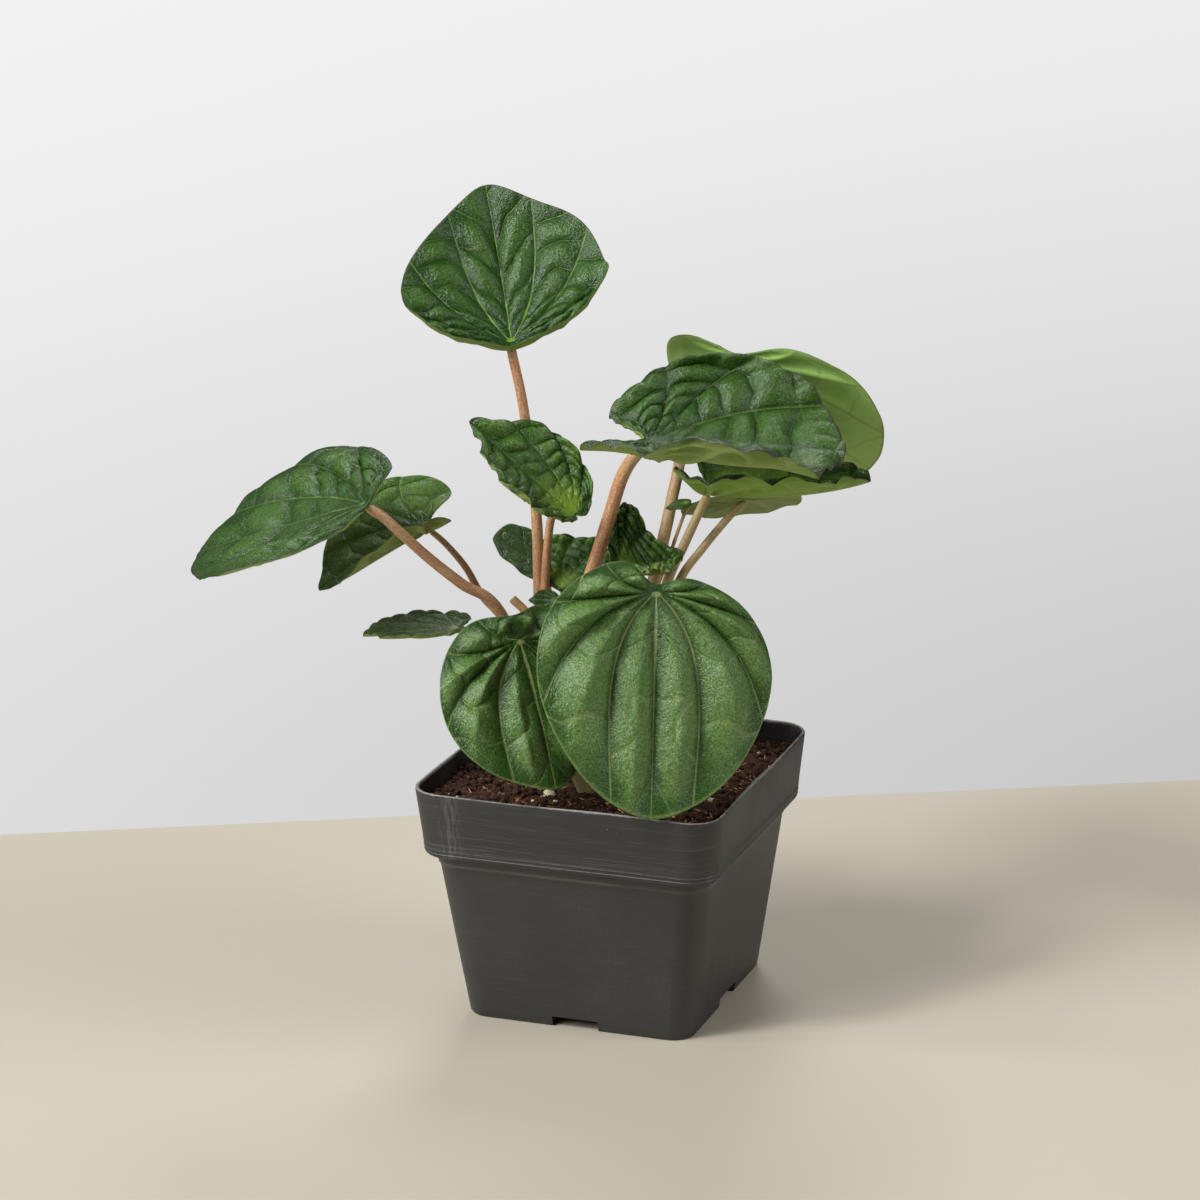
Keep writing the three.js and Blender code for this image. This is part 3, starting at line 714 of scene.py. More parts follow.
def grow(name, graph, sizes, start=None):
    """Runs a rule with these sizes on a helper and returns its result as a plain object."""
    helper = bpy.data.objects.new(name + "_helper", start or bpy.data.meshes.new(name))
    scene.collection.objects.link(helper)
    modifier = helper.modifiers.new("rule", "NODES")
    modifier.node_group = graph.tree
    for item in graph.tree.interface.items_tree:
        if item.in_out == "INPUT" and item.name in sizes:
            modifier[item.identifier] = sizes[item.name]
    depsgraph = bpy.context.evaluated_depsgraph_get()
    mesh = bpy.data.meshes.new_from_object(
        helper.evaluated_get(depsgraph), preserve_all_data_layers=True, depsgraph=depsgraph
    )
    bpy.data.objects.remove(helper)
    mesh.name = name
    piece = bpy.data.objects.new(name, mesh)
    scene.collection.objects.link(piece)
    return piece


print("a rule's sizes can be:", ", ".join(kind[10:] for kind in SOCKETS.values()))

# %% [markdown]
# ## Stems and stalks
# Three short stems stand in the soil, and every leaf has its own round stalk that grows from one
# of them. Separate tubes would show a seam where they meet. So the rule sweeps a circle along
# every path, turns the bundle into a volume and back into one skin, as if it had grown together.

# %% Paths, in millimetres
STEMS = {
    "stem_left": {"foot": (-17, -8, 58), "top": (-20, -7.5, 97), "radius": (4.4, 3.7)},
    "stem_right": {"foot": (3, 7, 58), "top": (5.2, 8, 98), "radius": (4, 3.4)},
    "stem_front": {"foot": (-1.5, -20, 58), "top": (-1.5, -20, 78), "radius": (2.8, 2.5)},
}
STALKS = {
    "blade_top": ("stem_left", (2.1, 1.5), [
        (-19, -7, 88), (-22.1, -3.8, 110.9), (-22.4, -3.9, 130.5),
        (-22.7, -4.9, 158.5), (-25.8, -5.8, 188.8), (-28.8, -7.2, 206.8)]),
    "blade_young_middle": ("stem_left", (1.6, 1.3), [
        (-18.5, -8, 90), (-19.2, -7, 115.5), (-19.4, -7, 130),
        (-17.8, -7.8, 147), (-15.6, -9.5, 156.5), (-10.4, -14.6, 160.2)]),
    "blade_behind_stalks": ("stem_left", (1.2, 0.9), [
        (-19.5, -6, 90), (-24.3, 3.9, 111.6), (-25.5, 13, 123.4)]),
    "blade_young_curly": ("stem_left", (1.2, 1), [
        (-18, -7, 90), (-17.5, -1.1, 110.5), (-16.2, 0.5, 123.2)]),
    "blade_left_big": ("stem_left", (1.9, 1.65), [
        (-20, -8, 92), (-28.4, -22.1, 128.3), (-37.7, -29.8, 138.7),
        (-45.5, -35.9, 147.7), (-51.9, -41.4, 156.3), (-57, -45.4, 163)]),
    "blade_left_second": ("stem_left", (1.5, 1.1), [
        (-20, -7, 92), (-30.9, -9.2, 118.9), (-40.4, -6.3, 127.5),
        (-46.4, -4.2, 135.4), (-52.5, -5.4, 142.9)]),
    "blade_left_low": ("stem_left", (1.2, 0.9), [
        (-19.5, -8.5, 86), (-24.7, -15.4, 108.4), (-35, -22.4, 118.7)]),
    "blade_right_big": ("stem_left", (2.4, 2.1), [
        (-18.5, -7.5, 88), (-9.5, -9.9, 120.6), (-2.7, -10.6, 139.5),
        (3.6, -11.4, 158.2), (8, -11.8, 171.5), (12.5, -12, 179)]),
    "blade_tiny_front": ("stem_left", (0.9, 0.7), [
        (-18.5, -8.5, 88), (-11.3, -10.5, 114.1), (-11.6, -10.8, 124.5)]),
    "blade_young_right": ("stem_right", (1.4, 1.1), [
        (4, 6.5, 90), (3.6, -0.8, 115.8), (5.1, -3.5, 133)]),
    "blade_back_right": ("stem_right", (2.3, 1.8), [
        (4.5, 8, 92), (6.8, 6.8, 113.8), (10, 12.2, 133.6),
        (11.6, 19.2, 148.6), (11.4, 27.6, 158.5), (13.2, 36.8, 173.9)]),
    "blade_tiny_back": ("stem_right", (0.9, 0.7), [
        (5, 8.5, 92), (8.5, 11.6, 122.3), (12.5, 17.4, 137.2), (16.3, 19.8, 149.8)]),
    "blade_right_lower": ("stem_right", (1.9, 1.5), [
        (5, 7.5, 90), (10.4, 5.9, 114.4), (15.4, 8.8, 133.5),
        (19.8, 11.5, 144.5), (23.9, 14.1, 154.7)]),
    "blade_right_droop": ("stem_right", (1.7, 1.3), [
        (5.5, 8, 88), (10.5, 10.2, 113.1), (15.9, 18.6, 130.7),
        (21.1, 24.8, 139.4), (28.1, 29.5, 148.8)]),
    "blade_front_big": ("stem_front", (2.1, 1.8), [
        (-1.5, -20, 71), (5.9, -17, 90.4), (13.7, -16.3, 112), (19.7, -18.3, 128.7)]),
    "blade_front_left": ("stem_front", (1.9, 1.6), [
        (-1.5, -20, 71), (-6.6, -22.2, 84), (-11.2, -22, 97.1),
        (-14.5, -25.5, 112), (-16, -33, 122.5)]),
}
STUB = ("stem_left", 1.5, [
    (-20, -8, 94), (-22, -6.6, 112), (-25.4, -5.8, 122.3), (-30.6, -6.2, 127.7)])
print("stalks:", len(STALKS), "and one cut stub")

# %% [markdown]
# ## Leaf measures
# A leaf is described as a botanist would: where the stalk meets it, how it is turned, how long
# and wide it is, how its halves fold and curl, and how deeply it puckers between its veins.

# %% Leaves
# Place: at, in millimetres, is where the stalk meets the blade; turn is the heading of the tip, its
# rise and the roll about the midrib, in degrees.
# Outline: size is the length from the stalk to the tip, the width, and the length of the lobes and
# of the drawn-out tip; tip_spread is how broad that tip is; gap and notch are the depth and width
# of the cleft behind the stalk; wide moves the widest place, skew makes the lobes unequal; bulge
# and nip swell the rim on the right, at an angle from the tip.
# Form: fold and curl of the left and right half and arch of the front and the lobes, in degrees;
# twist and heel turn and lift the lobes; lip rolls the rim down; wave is the height and number of
# slow waves in the rim, frill and frills those of the short ones.
# Relief: puff is the height between the veins and crest how sharp it is, quilt how deep the side
# veins cut, rungs how many there are, slant how far they lean out; converge bends the veins back
# towards the tip; wrinkle is fine creases, rim how much of it all is left at the rim.
LEAVES = {
    "blade_top": dict(
        at=(-28.8, -7.4, 209.9), turn=(118, 38, 14), size=(53, 64.5, 4, 4), gap=3.8, wide=0.25,
        tip_spread=0.42, bulge=0.05, bulge_at=1.12, bulge_width=0.36, nip=0.055, nip_at=1.88,
        fold=(24, 9), curl=(-1, 4), arch=(-33, 10), lip_heel=-3.5, wave=(0.5, 9), converge=0.6,
        puff=2.6, crest=1.9, quilt=0.75, rungs=4.6, slant=1.3, wrinkle=0.18, rim=0.5),
    "blade_left_big": dict(
        at=(-61.3, -48, 167), turn=(173, -21, 13), size=(63.5, 64.5, 7, 1), gap=1.5, wide=0.03,
        skew=0.38, fold=(-6, 16), curl=(20, 13), arch=(0, 12), lip_right=2, wave=(0.5, 9),
        puff=2.6, quilt=0.8, rungs=4.8, wrinkle=0.2, rim=0.5),
    "blade_left_second": dict(
        at=(-58.8, -5.6, 148.4), turn=(217, -18, -6), size=(39, 50, 14, 3.3), gap=1.2, wide=0.12,
        skew=0.3, fold=(-1, 22), curl=(48, 34), arch=(19, 24), twist=-12, wave=(0.6, 11), puff=1.8,
        quilt=0.6, rungs=4.2, wrinkle=0.12, rim=0.6),
    "blade_left_low": dict(
        at=(-40.9, -25.7, 122.9), turn=(207, -3, 5), size=(29.3, 21.7, 7.6, 2), gap=1, wide=-0.07,
        skew=0.04, fold=(18, 12), curl=(-5, -7), arch=(-3, 9), wave=(0.4, 7), frill=0.8, frills=2,
        puff=1.5, quilt=0.6, rungs=4, wrinkle=0.1, rim=0.8),
    "blade_young_middle": dict(
        at=(-4.8, -18.9, 160.8), turn=(178.4, 34, 28.4), size=(42.9, 35.6, 2.7, 6.3), gap=0.3,
        notch=0.06, wide=-0.08, skew=0.2, fold=(30, 7), curl=(13, -8), arch=(-12.9, 1.6),
        twist=-52, wave=(0.5, 9), frill=0.7, frills=2, converge=0.4, puff=2.2, quilt=0.85, rungs=8,
        wrinkle=0.45, rim=0.8),
    "blade_behind_stalks": dict(
        at=(-26.8, 15.8, 130.7), turn=(214, 31, 25), size=(21, 26, 3.3, 0.8), gap=1.2, wide=-0.05,
        fold=(14, 10), curl=(2, 1), arch=(-3, 10), wave=(0.3, 7), puff=0.9, quilt=0.4, rungs=3.6,
        wrinkle=0.08, rim=0.4),
    "blade_young_curly": dict(
        at=(-16.1, -0.6, 130.7), turn=(57, 39, -21), size=(20.5, 29.5, 3.4, 2.9), gap=1.2,
        fold=(15, 11), curl=(7, 1), arch=(7, 10), wave=(0.5, 7), frill=0.8, frills=2, converge=0.4,
        puff=1.9, quilt=0.85, rungs=6.5, wrinkle=0.45, rim=0.9),
    "blade_young_right": dict(
        at=(5.4, -5.5, 140.8), turn=(40, -9, 0), size=(21, 46.5, 4.6, 6.5), gap=2.8, wide=-0.14,
        fold=(45, 8), curl=(17, 14), arch=(-27, 17), wave=(0.5, 7), frill=0.9, frills=3,
        converge=0.4, puff=1.8, quilt=0.85, rungs=9, wrinkle=0.45, rim=0.9),
    "blade_right_big": dict(
        at=(17, -11.9, 184), turn=(19.5, -2.5, 19), size=(59.5, 73, 25, 1.5), gap=1.5, wide=-0.15,
        skew=0.2, fold=(38, -49), curl=(46, 106), arch=(3.5, -6), twist=50, lip_right=6,
        wave=(0.8, 11), frill=1.4, frills=3, puff=3, quilt=0.85, rungs=6, slant=0.7, wrinkle=0.22,
        rim=1),
    "blade_back_right": dict(
        at=(28.7, 35.9, 198.7), turn=(68.6, -57.8, -8.7), size=(71.4, 76, 9.1, 1.4), gap=2,
        wide=0.22, fold=(-3.4, 25), curl=(0, 0), arch=(-25.4, 7.8), wave=(0.4, 9), converge=0.6,
        puff=1.6, quilt=0.25, rungs=4, wrinkle=0.08, rim=0.15),
    "blade_right_lower": dict(
        at=(26.9, 13.8, 161.5), turn=(0.5, -1.5, 0), size=(53, 48, 13, 2.1), gap=1.2, wide=0.05,
        fold=(8, 24), curl=(12, 15), arch=(-20, 7), heel=1, lip_right=1.5, wave=(0.7, 11),
        frill=0.9, frills=2, puff=2, quilt=0.8, rungs=5.5, slant=0.7, wrinkle=0.22, rim=1),
    "blade_right_droop": dict(
        at=(33.7, 29.4, 155.6), turn=(115, -30, 3), size=(32.5, 38, 8.6, 1.9), gap=1.2,
        fold=(-1, 2), curl=(6, -5), arch=(-7, 10), wave=(0.4, 7), puff=1, quilt=0.4, rungs=4.2,
        wrinkle=0.08, rim=0.3),
    "blade_front_big": dict(
        at=(24.5, -28, 141.7), turn=(285, -67, 17), size=(68.6, 73.4, 8.2, 0.6), gap=2.4,
        notch=0.16, wide=0.18, skew=0.28, fold=(-4, 11), curl=(-5, -11), arch=(0, 11),
        wave=(0.25, 7), veins="few", converge=1, puff=6, crest=1.1, quilt=0.25, rungs=3, slant=0.9,
        wrinkle=0.3, rim=0.2),
    "blade_front_left": dict(
        at=(-16.2, -37.6, 125.2), turn=(322, -61, 0), size=(46.5, 58, 13.4, 2), gap=8, notch=0.36,
        skew=-0.06, fold=(-25, -17), curl=(2, -1), arch=(7, 6), wave=(0.25, 7), veins="few",
        converge=0.8, puff=5.2, crest=0.9, quilt=0.5, rungs=3, slant=0.9, wrinkle=0.22, rim=0.2),
    "blade_tiny_front": dict(
        at=(-13.3, -12.8, 130.4), turn=(206, 6, 34), size=(8.7, 8.5, 1.5, 1.3), gap=0.8,
        fold=(8, 7), curl=(0, 1), arch=(5, 10), wave=(0.15, 5), puff=0.4, quilt=0.5, rungs=3,
        wrinkle=0.05, rim=0.5),
    "blade_tiny_back": dict(
        at=(18.5, 19.7, 155.5), turn=(204, -10, 3), size=(7.4, 8, 1.6, 0.8), gap=0.8, fold=(5, 7),
        curl=(0, 0), arch=(5, 10), wave=(0.15, 5), puff=0.4, quilt=0.3, rungs=3, wrinkle=0.05,
        rim=0.3),
}
print("leaves:", len(LEAVES), "widest", max(leaf["size"][1] for leaf in LEAVES.values()), "mm")

# %% [markdown]
# ### Smooth paths
# A path through a few points is smoothed with a Catmull-Rom curve, which passes through each of
# them, where a Bezier curve would need handles. Its radius tapers, swells a little where it leaves
# the stem and narrows where it meets its blade, as a real leaf stalk does.

# %% Smooth paths
STALK_STEPS = 8
BODY_STEPS = 6
UNDER_BLADE = Vector((0, 0, -0.9))
SWELL = 0.25


def smooth_path(points, steps):
    """Points along the Catmull-Rom curve through the given ones."""
    knots = [Vector(p) for p in points]
    knots = [2 * knots[0] - knots[1], *knots, 2 * knots[-1] - knots[-2]]
    path = []
    for a, b, c, d in zip(knots, knots[1:], knots[2:], knots[3:]):
        for k in range(steps):
            u = k / steps
            bent = (3 * b - a - 3 * c + d) * u**3 + (2 * a - 5 * b + 4 * c - d) * u**2
            path.append((bent + (c - a) * u + 2 * b) / 2)
    return path + [knots[-2]]


def blade_frame(leaf):
    """The blade's own axes in the plant: x to its right, y along the midrib, z off its face."""
    heading, rise, roll = (math.radians(v) for v in leaf["turn"])
    flat = Vector((math.cos(heading), math.sin(heading), 0))
    y = flat * math.cos(rise) + Vector((0, 0, math.sin(rise)))
    x0 = Vector((math.sin(heading), -math.cos(heading), 0))
    z0 = x0.cross(y)
    x = x0 * math.cos(roll) + z0 * math.sin(roll)
    z = z0 * math.cos(roll) - x0 * math.sin(roll)
    axes = Matrix((x, y, z)).transposed().to_4x4()
    return Matrix.Translation(leaf["at"]) @ axes


def stalk_path(name):
    """A stalk's points, ending just under the face of its blade, and its radii."""
    _, (foot, tip), points = STALKS[name]
    seat = blade_frame(LEAVES[name]) @ UNDER_BLADE
    path = smooth_path([*points, seat], STALK_STEPS)
    radii = []
    for k in range(len(path)):
        u = k / (len(path) - 1)
        at_foot = math.exp(-((u / 0.12) ** 2))
        at_blade = math.exp(-(((1 - u) / 0.03) ** 2))
        swell = SWELL * at_foot - SWELL * at_blade
        radii.append((foot + (tip - foot) * u) * (1 + swell))
    return path, radii


def stem_paths(stem):
    """Every path of one stem: its own body first, then its stalks and any stub."""
    body = STEMS[stem]
    foot, top = Vector(body["foot"]), Vector(body["top"])
    middle = (foot + top) / 2 + Vector((0, 0.4, 0))
    path = smooth_path([foot, middle, top], BODY_STEPS)
    thick, thin = body["radius"]
    radii = [thick + (thin - thick) * k / (len(path) - 1) for k in range(len(path))]
    radii[-1] *= 0.7
    paths = [(path, radii)]
    paths += [stalk_path(name) for name, row in STALKS.items() if row[0] == stem]
    if STUB[0] == stem:
        path = smooth_path(STUB[2], STALK_STEPS)
        paths.append((path, [STUB[1]] * len(path)))
    return paths


for stem in STEMS:
    print(stem, "has", len(stem_paths(stem)) - 1, "paths besides its own")

# %% [markdown]
# ### One skin for stem and stalks
# The stalks grew out of the stem, so no seam may show. Joining tubes with Booleans leaves sharp
# creases and often fails where tubes nearly touch. A volume is safer: the tubes are filled with
# small cubes, a skin is drawn round them all, and a blur takes the steps of the cubes away.

# %% The stem rule
STEM_SIZES = {"Sides": 14, "Voxel": 0.35, "Smoothing": 3}


def stem_rule(material):
    """Sweeps a circle along the paths and fuses the tubes through a volume."""
    graph, size = new_rule("grown_stem", STEM_SIZES)
    circle = graph.node("GeometryNodeCurvePrimitiveCircle", None, {"Resolution": size["Sides"]})
    thickness = graph.node("GeometryNodeInputRadius")
    swept = graph.node(
        "GeometryNodeCurveToMesh", None,
        {"Curve": size["Geometry"], "Profile Curve": circle, "Fill Caps": True,
         "Scale": thickness},
    )
    volume = graph.node(
        "GeometryNodeMeshToVolume", {"resolution_mode": "VOXEL_SIZE"},
        {"Mesh": swept, "Voxel Size": size["Voxel"], "Interior Band Width": 1.0},
    )
    skin = graph.node(
        "GeometryNodeVolumeToMesh", {"resolution_mode": "VOXEL_SIZE"},
        {"Volume": volume, "Voxel Size": size["Voxel"], "Threshold": 0.1},
    )
    here = graph.node("GeometryNodeInputPosition")
    blurred = graph.node(
        "GeometryNodeBlurAttribute", {"data_type": "FLOAT_VECTOR"},
        {"Value": here, "Iterations": size["Smoothing"]},
    )
    eased = graph.node("GeometryNodeSetPosition", None, {"Geometry": skin, "Position": blurred})
    end_rule(graph, eased, material)
    return graph


print("stem sizes:", STEM_SIZES)

# %% [markdown]
# ### Grain along a stalk
# Streaks run along a stalk, also where it bends, but a pattern in Object coordinates would run
# straight on. So each point of the skin remembers where it would lie if its stalk were straight,
# as a plain attribute, and what share of the stalk's length it has reached.

# %% Paths and grain
def path_curve(name, paths):
    curve = bpy.data.curves.new(name, "CURVE")
    curve.dimensions = "3D"
    for path, radii in paths:
        spline = curve.splines.new("POLY")
        spline.points.add(len(path) - 1)
        for point, where, radius in zip(spline.points, path, radii):
            point.co = (*where, 1)
            point.radius = radius
    return curve


def path_spots(paths):
    """Each path point with its own axes, the length run so far and the share of its path."""
    spots = []
    for path, _ in paths:
        across = Vector((1, 0, 0))
        run = 0.0
        for k, here in enumerate(path):
            along = (path[min(k + 1, len(path) - 1)] - path[max(k - 1, 0)]).normalized()
            across = (across - along * across.dot(along)).normalized()
            run += (here - path[k - 1]).length if k else 0
            share = 0 if path is paths[0][0] else k / (len(path) - 1)
            spots.append((here, across, along.cross(across), run, share))
    return spots


def mark_grain(mesh, paths):
    """Stores, for each point, its place in the straightened stalk and its share of the length."""
    spots = path_spots(paths)
    tree = KDTree(len(spots))
    for index, spot in enumerate(spots):
        tree.insert(spot[0], index)
    tree.balance()
    grain = np.zeros((len(mesh.vertices), 3), np.float32)
    reach = np.zeros(len(mesh.vertices), np.float32)
    for vertex in mesh.vertices:
        here, across, other, run, share = spots[tree.find(vertex.co)[1]]
        off = vertex.co - here
        grain[vertex.index] = (off.dot(across), off.dot(other), run + off.dot(across.cross(other)))
        reach[vertex.index] = share
    mesh.attributes.new("grain", "FLOAT_VECTOR", "POINT").data.foreach_set("vector", grain.ravel())
    mesh.attributes.new("reach", "FLOAT", "POINT").data.foreach_set("value", reach)


print("points that carry the grain:", sum(len(path_spots(stem_paths(stem))) for stem in STEMS))

# %% [markdown]
# ### Terracotta skin
# The stalks are a translucent reddish brown with darker streaks and fine red flecks. They turn
# olive among the stalks on the right, green near the soil and yellow-green just under the blade.
# Each of these is one more Mix over the last, and a little subsurface light keeps them fleshy.

# %% Terracotta skin
STALK_SKIN = {
    "light": (0.62, 0.35, 0.18), "deep": (0.48, 0.23, 0.12), "sandy": (0.52, 0.39, 0.20),
    "fleck": (0.26, 0.09, 0.05), "olive": (0.50, 0.46, 0.22), "joint": (0.36, 0.42, 0.12),
    "foot": (0.20, 0.20, 0.08),
}


def terracotta_stalk():
    finish = Finish("terracotta_stalk")
    grain = finish.attribute("grain", "Vector")
    reach = finish.attribute("reach")
    x, _, z = finish.split(finish.place)
    streak = finish.noise(finish.stretched(grain, 1.6, 1.6, 0.12), 1.0, 3.0, 0.6)
    fleck = finish.noise(finish.stretched(grain, 3.2, 3.2, 1.6), 1.0, 2.0, 0.6)
    patch = finish.noise(finish.place, 0.05, 2.0)
    colour = finish.mix(streak.step(0.35, 0.65), STALK_SKIN["light"], STALK_SKIN["deep"])
    colour = finish.mix(patch.step(0.4, 0.65) * 0.5, colour, STALK_SKIN["sandy"])
    colour = finish.mix(fleck.step(0.48, 0.60) * 0.75, colour, STALK_SKIN["fleck"])
    olive = x.step(6, 16) * z.step(105, 135) * 0.5
    colour = finish.mix(olive, colour, STALK_SKIN["olive"])
    colour = finish.mix(reach.step(0.93, 1.0) * 0.8, colour, STALK_SKIN["joint"])
    colour = finish.mix(z.step(106, 76) * 0.7, colour, STALK_SKIN["foot"])
    finish.set("Base Color", colour)
    finish.set("Roughness", 0.42 + fleck * 0.15)
    finish.set("Subsurface Weight", 0.12)
    finish.set("Subsurface Radius", (0.004, 0.002, 0.001))
    finish.bump(streak * 0.6 + fleck * 0.4, 0.12)
    return finish.material


stem_tree = stem_rule(terracotta_stalk())
print("terracotta skin has", len(bpy.data.materials["terracotta_stalk"].node_tree.nodes), "nodes")

# %% [markdown]
# ### Grow the stems
# The rule runs three times, once for each stem with its stalks. The paths are in millimetres,
# where a voxel of a third of a millimetre is easy to read, so the result is scaled to metres at
# the end, in its mesh. Then the piece takes the place of its solid.

# %% Grow the stems
for stem in STEMS:
    paths = stem_paths(stem)
    piece = grow("grown_" + stem, stem_tree, {}, path_curve(stem, paths))
    mark_grain(piece.data, paths)
    piece.data.transform(Matrix.Scale(MM, 4))
    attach(piece, "root")
    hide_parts(stem)
    print(piece.name, "has", len(piece.data.polygons), "faces")

# %% [markdown]
# ## Blades
# Every blade follows one rule with its own measures, so one geometry tree draws them all. It
# starts from a flat grid: across the grid runs the angle round the stalk, with every fifth on a
# main vein; along it runs the way from stalk to rim. The tree lays the grid out as a heart, puffs
# it up between the veins, cuts the puffs into blisters, waves the rim, and folds and arches it.

# %% Veins and outline
# For each kind of blade: the angles of its main veins at the rim, and those at the stalk.
SECTORS = 5
VEINS = {
    "many": ((0, 32, 72, 112, 150, 180), (0, 62, 100, 130, 158, 180)),
    "few": ((0, 25, 80, 128, 158, 180), (0, 72, 118, 146, 166, 180)),
}
VEIN_BOW = 0.45
VEIN_LAG = 0.12
NIP_WIDTH = 0.12


def vein_angle(across, stops):
    """The angle round the stalk, 0 at the tip, for a place counted in veins."""
    angle = 0
    for k in range(SECTORS):
        part = (across - k).maths("MINIMUM", 1.0).maths("MAXIMUM", 0.0)
        angle = part * math.radians(stops[k + 1] - stops[k]) + angle
    return angle


def heart(size, rho, angle, right):
    """Where a place of the blade lies when it is flat, in millimetres."""
    side = right * 2.0 - 1.0
    sine, cosine = angle.maths("SINE") * side, angle.maths("COSINE")
    lobe = size["Lobe"] * (1.0 + side * size["Skew"])
    broad = rho * (1.0 + VEIN_BOW * (1.0 - rho))
    long = rho * (1.0 - VEIN_LAG * (1.0 - rho))
    back = long * long
    x = size["Width"] * 0.5 * sine * (1.0 - size["Wide"] * cosine) * broad
    front = (size["Length"] - size["Tip"]) * long * (1.0 + cosine) * 0.5
    heel = lobe * back * (1.0 - cosine) * 0.5
    point = size["Tip"] * long * angle.bell(size["Tip spread"])
    notch = (lobe * back - size["Gap"] * long) * (math.pi - angle).bell(size["Notch"])
    turned = angle * side
    grown = size["Bulge"] * (turned - size["Bulge at"]).bell(size["Bulge width"])
    grown = grown + size["Nip"] * (turned - size["Nip at"]).bell(NIP_WIDTH)
    grown = grown * rho**4.0 + 1.0
    return x * grown, (front - heel + point + notch) * grown


for kind, (at_rim, at_stalk) in VEINS.items():
    print("a blade with", kind, "veins has them at", at_rim, "degrees from its tip")

# %% [markdown]
# ### Relief
# Between the sunken veins the blade stands up in puffs, and the side veins cut each puff into
# blisters like the rungs of a ladder. Sculpting them by hand on sixteen leaves is endless, and a
# noise texture would know nothing of the veins. A formula that counts veins and rungs puts every
# blister between them, and a little noise makes no two alike.

# %% Relief
RELIEF_START = 7.0
PUFF_ROOM = 0.026
RUNG_WANDER = 1.4
RUNG_STAGGER = 0.37
ROLL_FROM = 0.7
FRILL_FROM = 0.8


def rungs(graph, size, across, rho):
    """Counts the side veins: whole numbers lie on them. They slant outwards and wander."""
    s = across.maths("FRACT")
    wander = graph.noise(graph.vector(across * 0.8, rho * 2.4, size["Seed"]), 1.0, 1.0)
    shift = across.maths("FLOOR") * RUNG_STAGGER
    count = size["Rungs"] * rho**0.85
    return count - (s - 0.5) * size["Slant"] + (wander - 0.5) * RUNG_WANDER + shift


def by_side(right, left_size, right_size):
    return left_size * (1.0 - right) + right_size * right


def relief(graph, size, across, rho, angle, right, flat):
    """Height of the upper face over the flat blade: puffs between veins, cut into blisters."""
    x, y = flat
    far = (x * x + y * y).maths("SQRT")
    rise = (far / RELIEF_START).maths("MINIMUM", 1.0) ** 1.5
    room = (rho * size["Width"] * PUFF_ROOM).maths("MINIMUM", 1.0)
    ridge = 1.0 - (across.maths("FRACT") * 2.0 - 1.0).maths("ABSOLUTE") ** size["Crest"]
    rung = rungs(graph, size, across, rho)
    pillow = 1.0 - (rung.maths("FRACT") * 2.0 - 1.0).maths("ABSOLUTE") ** 2.3
    cell = graph.vector(rung.maths("FLOOR") * 3.7, across.maths("FLOOR") * 5.3, size["Seed"])
    lively = graph.noise(cell, 1.0, 0.0) * 1.6 + 0.25
    cut = 1.0 - size["Quilt"] + size["Quilt"] * pillow * lively
    fade = 1.0 - (1.0 - size["Rim"]) * rho.step(0.66, 1.0)
    lobes = 1.0 - across.step(2.6, 5.0) * 0.5
    puff = size["Puff"] * rise * room * ridge * cut * fade * lobes
    crease = graph.noise(graph.vector(x, y, size["Seed"]), 0.30, 1.5) - 0.5
    fine = crease * size["Wrinkle"] * ridge * rise * 4.0
    roll = ((rho - ROLL_FROM) / (1 - ROLL_FROM)).maths("MAXIMUM", 0.0) ** 2.0
    lip = by_side(right, size["Lip left"], size["Lip right"]) * angle.maths("SINE")
    lip = (lip + size["Lip heel"] * angle.step(1.3, 2.3)) * roll
    turned = angle * (right * 2.0 - 1.0)
    ripple = (size["Wave count"] * turned + size["Length"]).maths("SINE")
    calm = (angle * 0.5).maths("COSINE").maths("MAXIMUM", 0.0) ** 0.3
    frill = 1.0 - ((across * size["Frills"]).maths("FRACT") * 2.0 - 1.0) ** 2.0
    frill = frill * rho.step(FRILL_FROM, 0.96) * size["Frill"]
    wave = size["Wave height"] * ripple * rho**6.0 * calm
    return puff + fine + frill + wave - lip, rung


print("relief begins within", RELIEF_START, "mm of the stalk")

# %% [markdown]
# ### Fold and arch
# A real blade is never flat: its halves fold up or hang down from the midrib, curl towards their
# rims, and the whole arches over its length. A lattice or bones could bend it, but each bend is
# just a circle of some radius, so the flat place is carried onto two circles, one after the other.
# A small angle is added to each, because a circle without any bend has no radius.

# %% Fold and arch
FOLD_ROUND = 3.0
LEAST_BEND = 0.3
HEEL_ROUND = 2.0


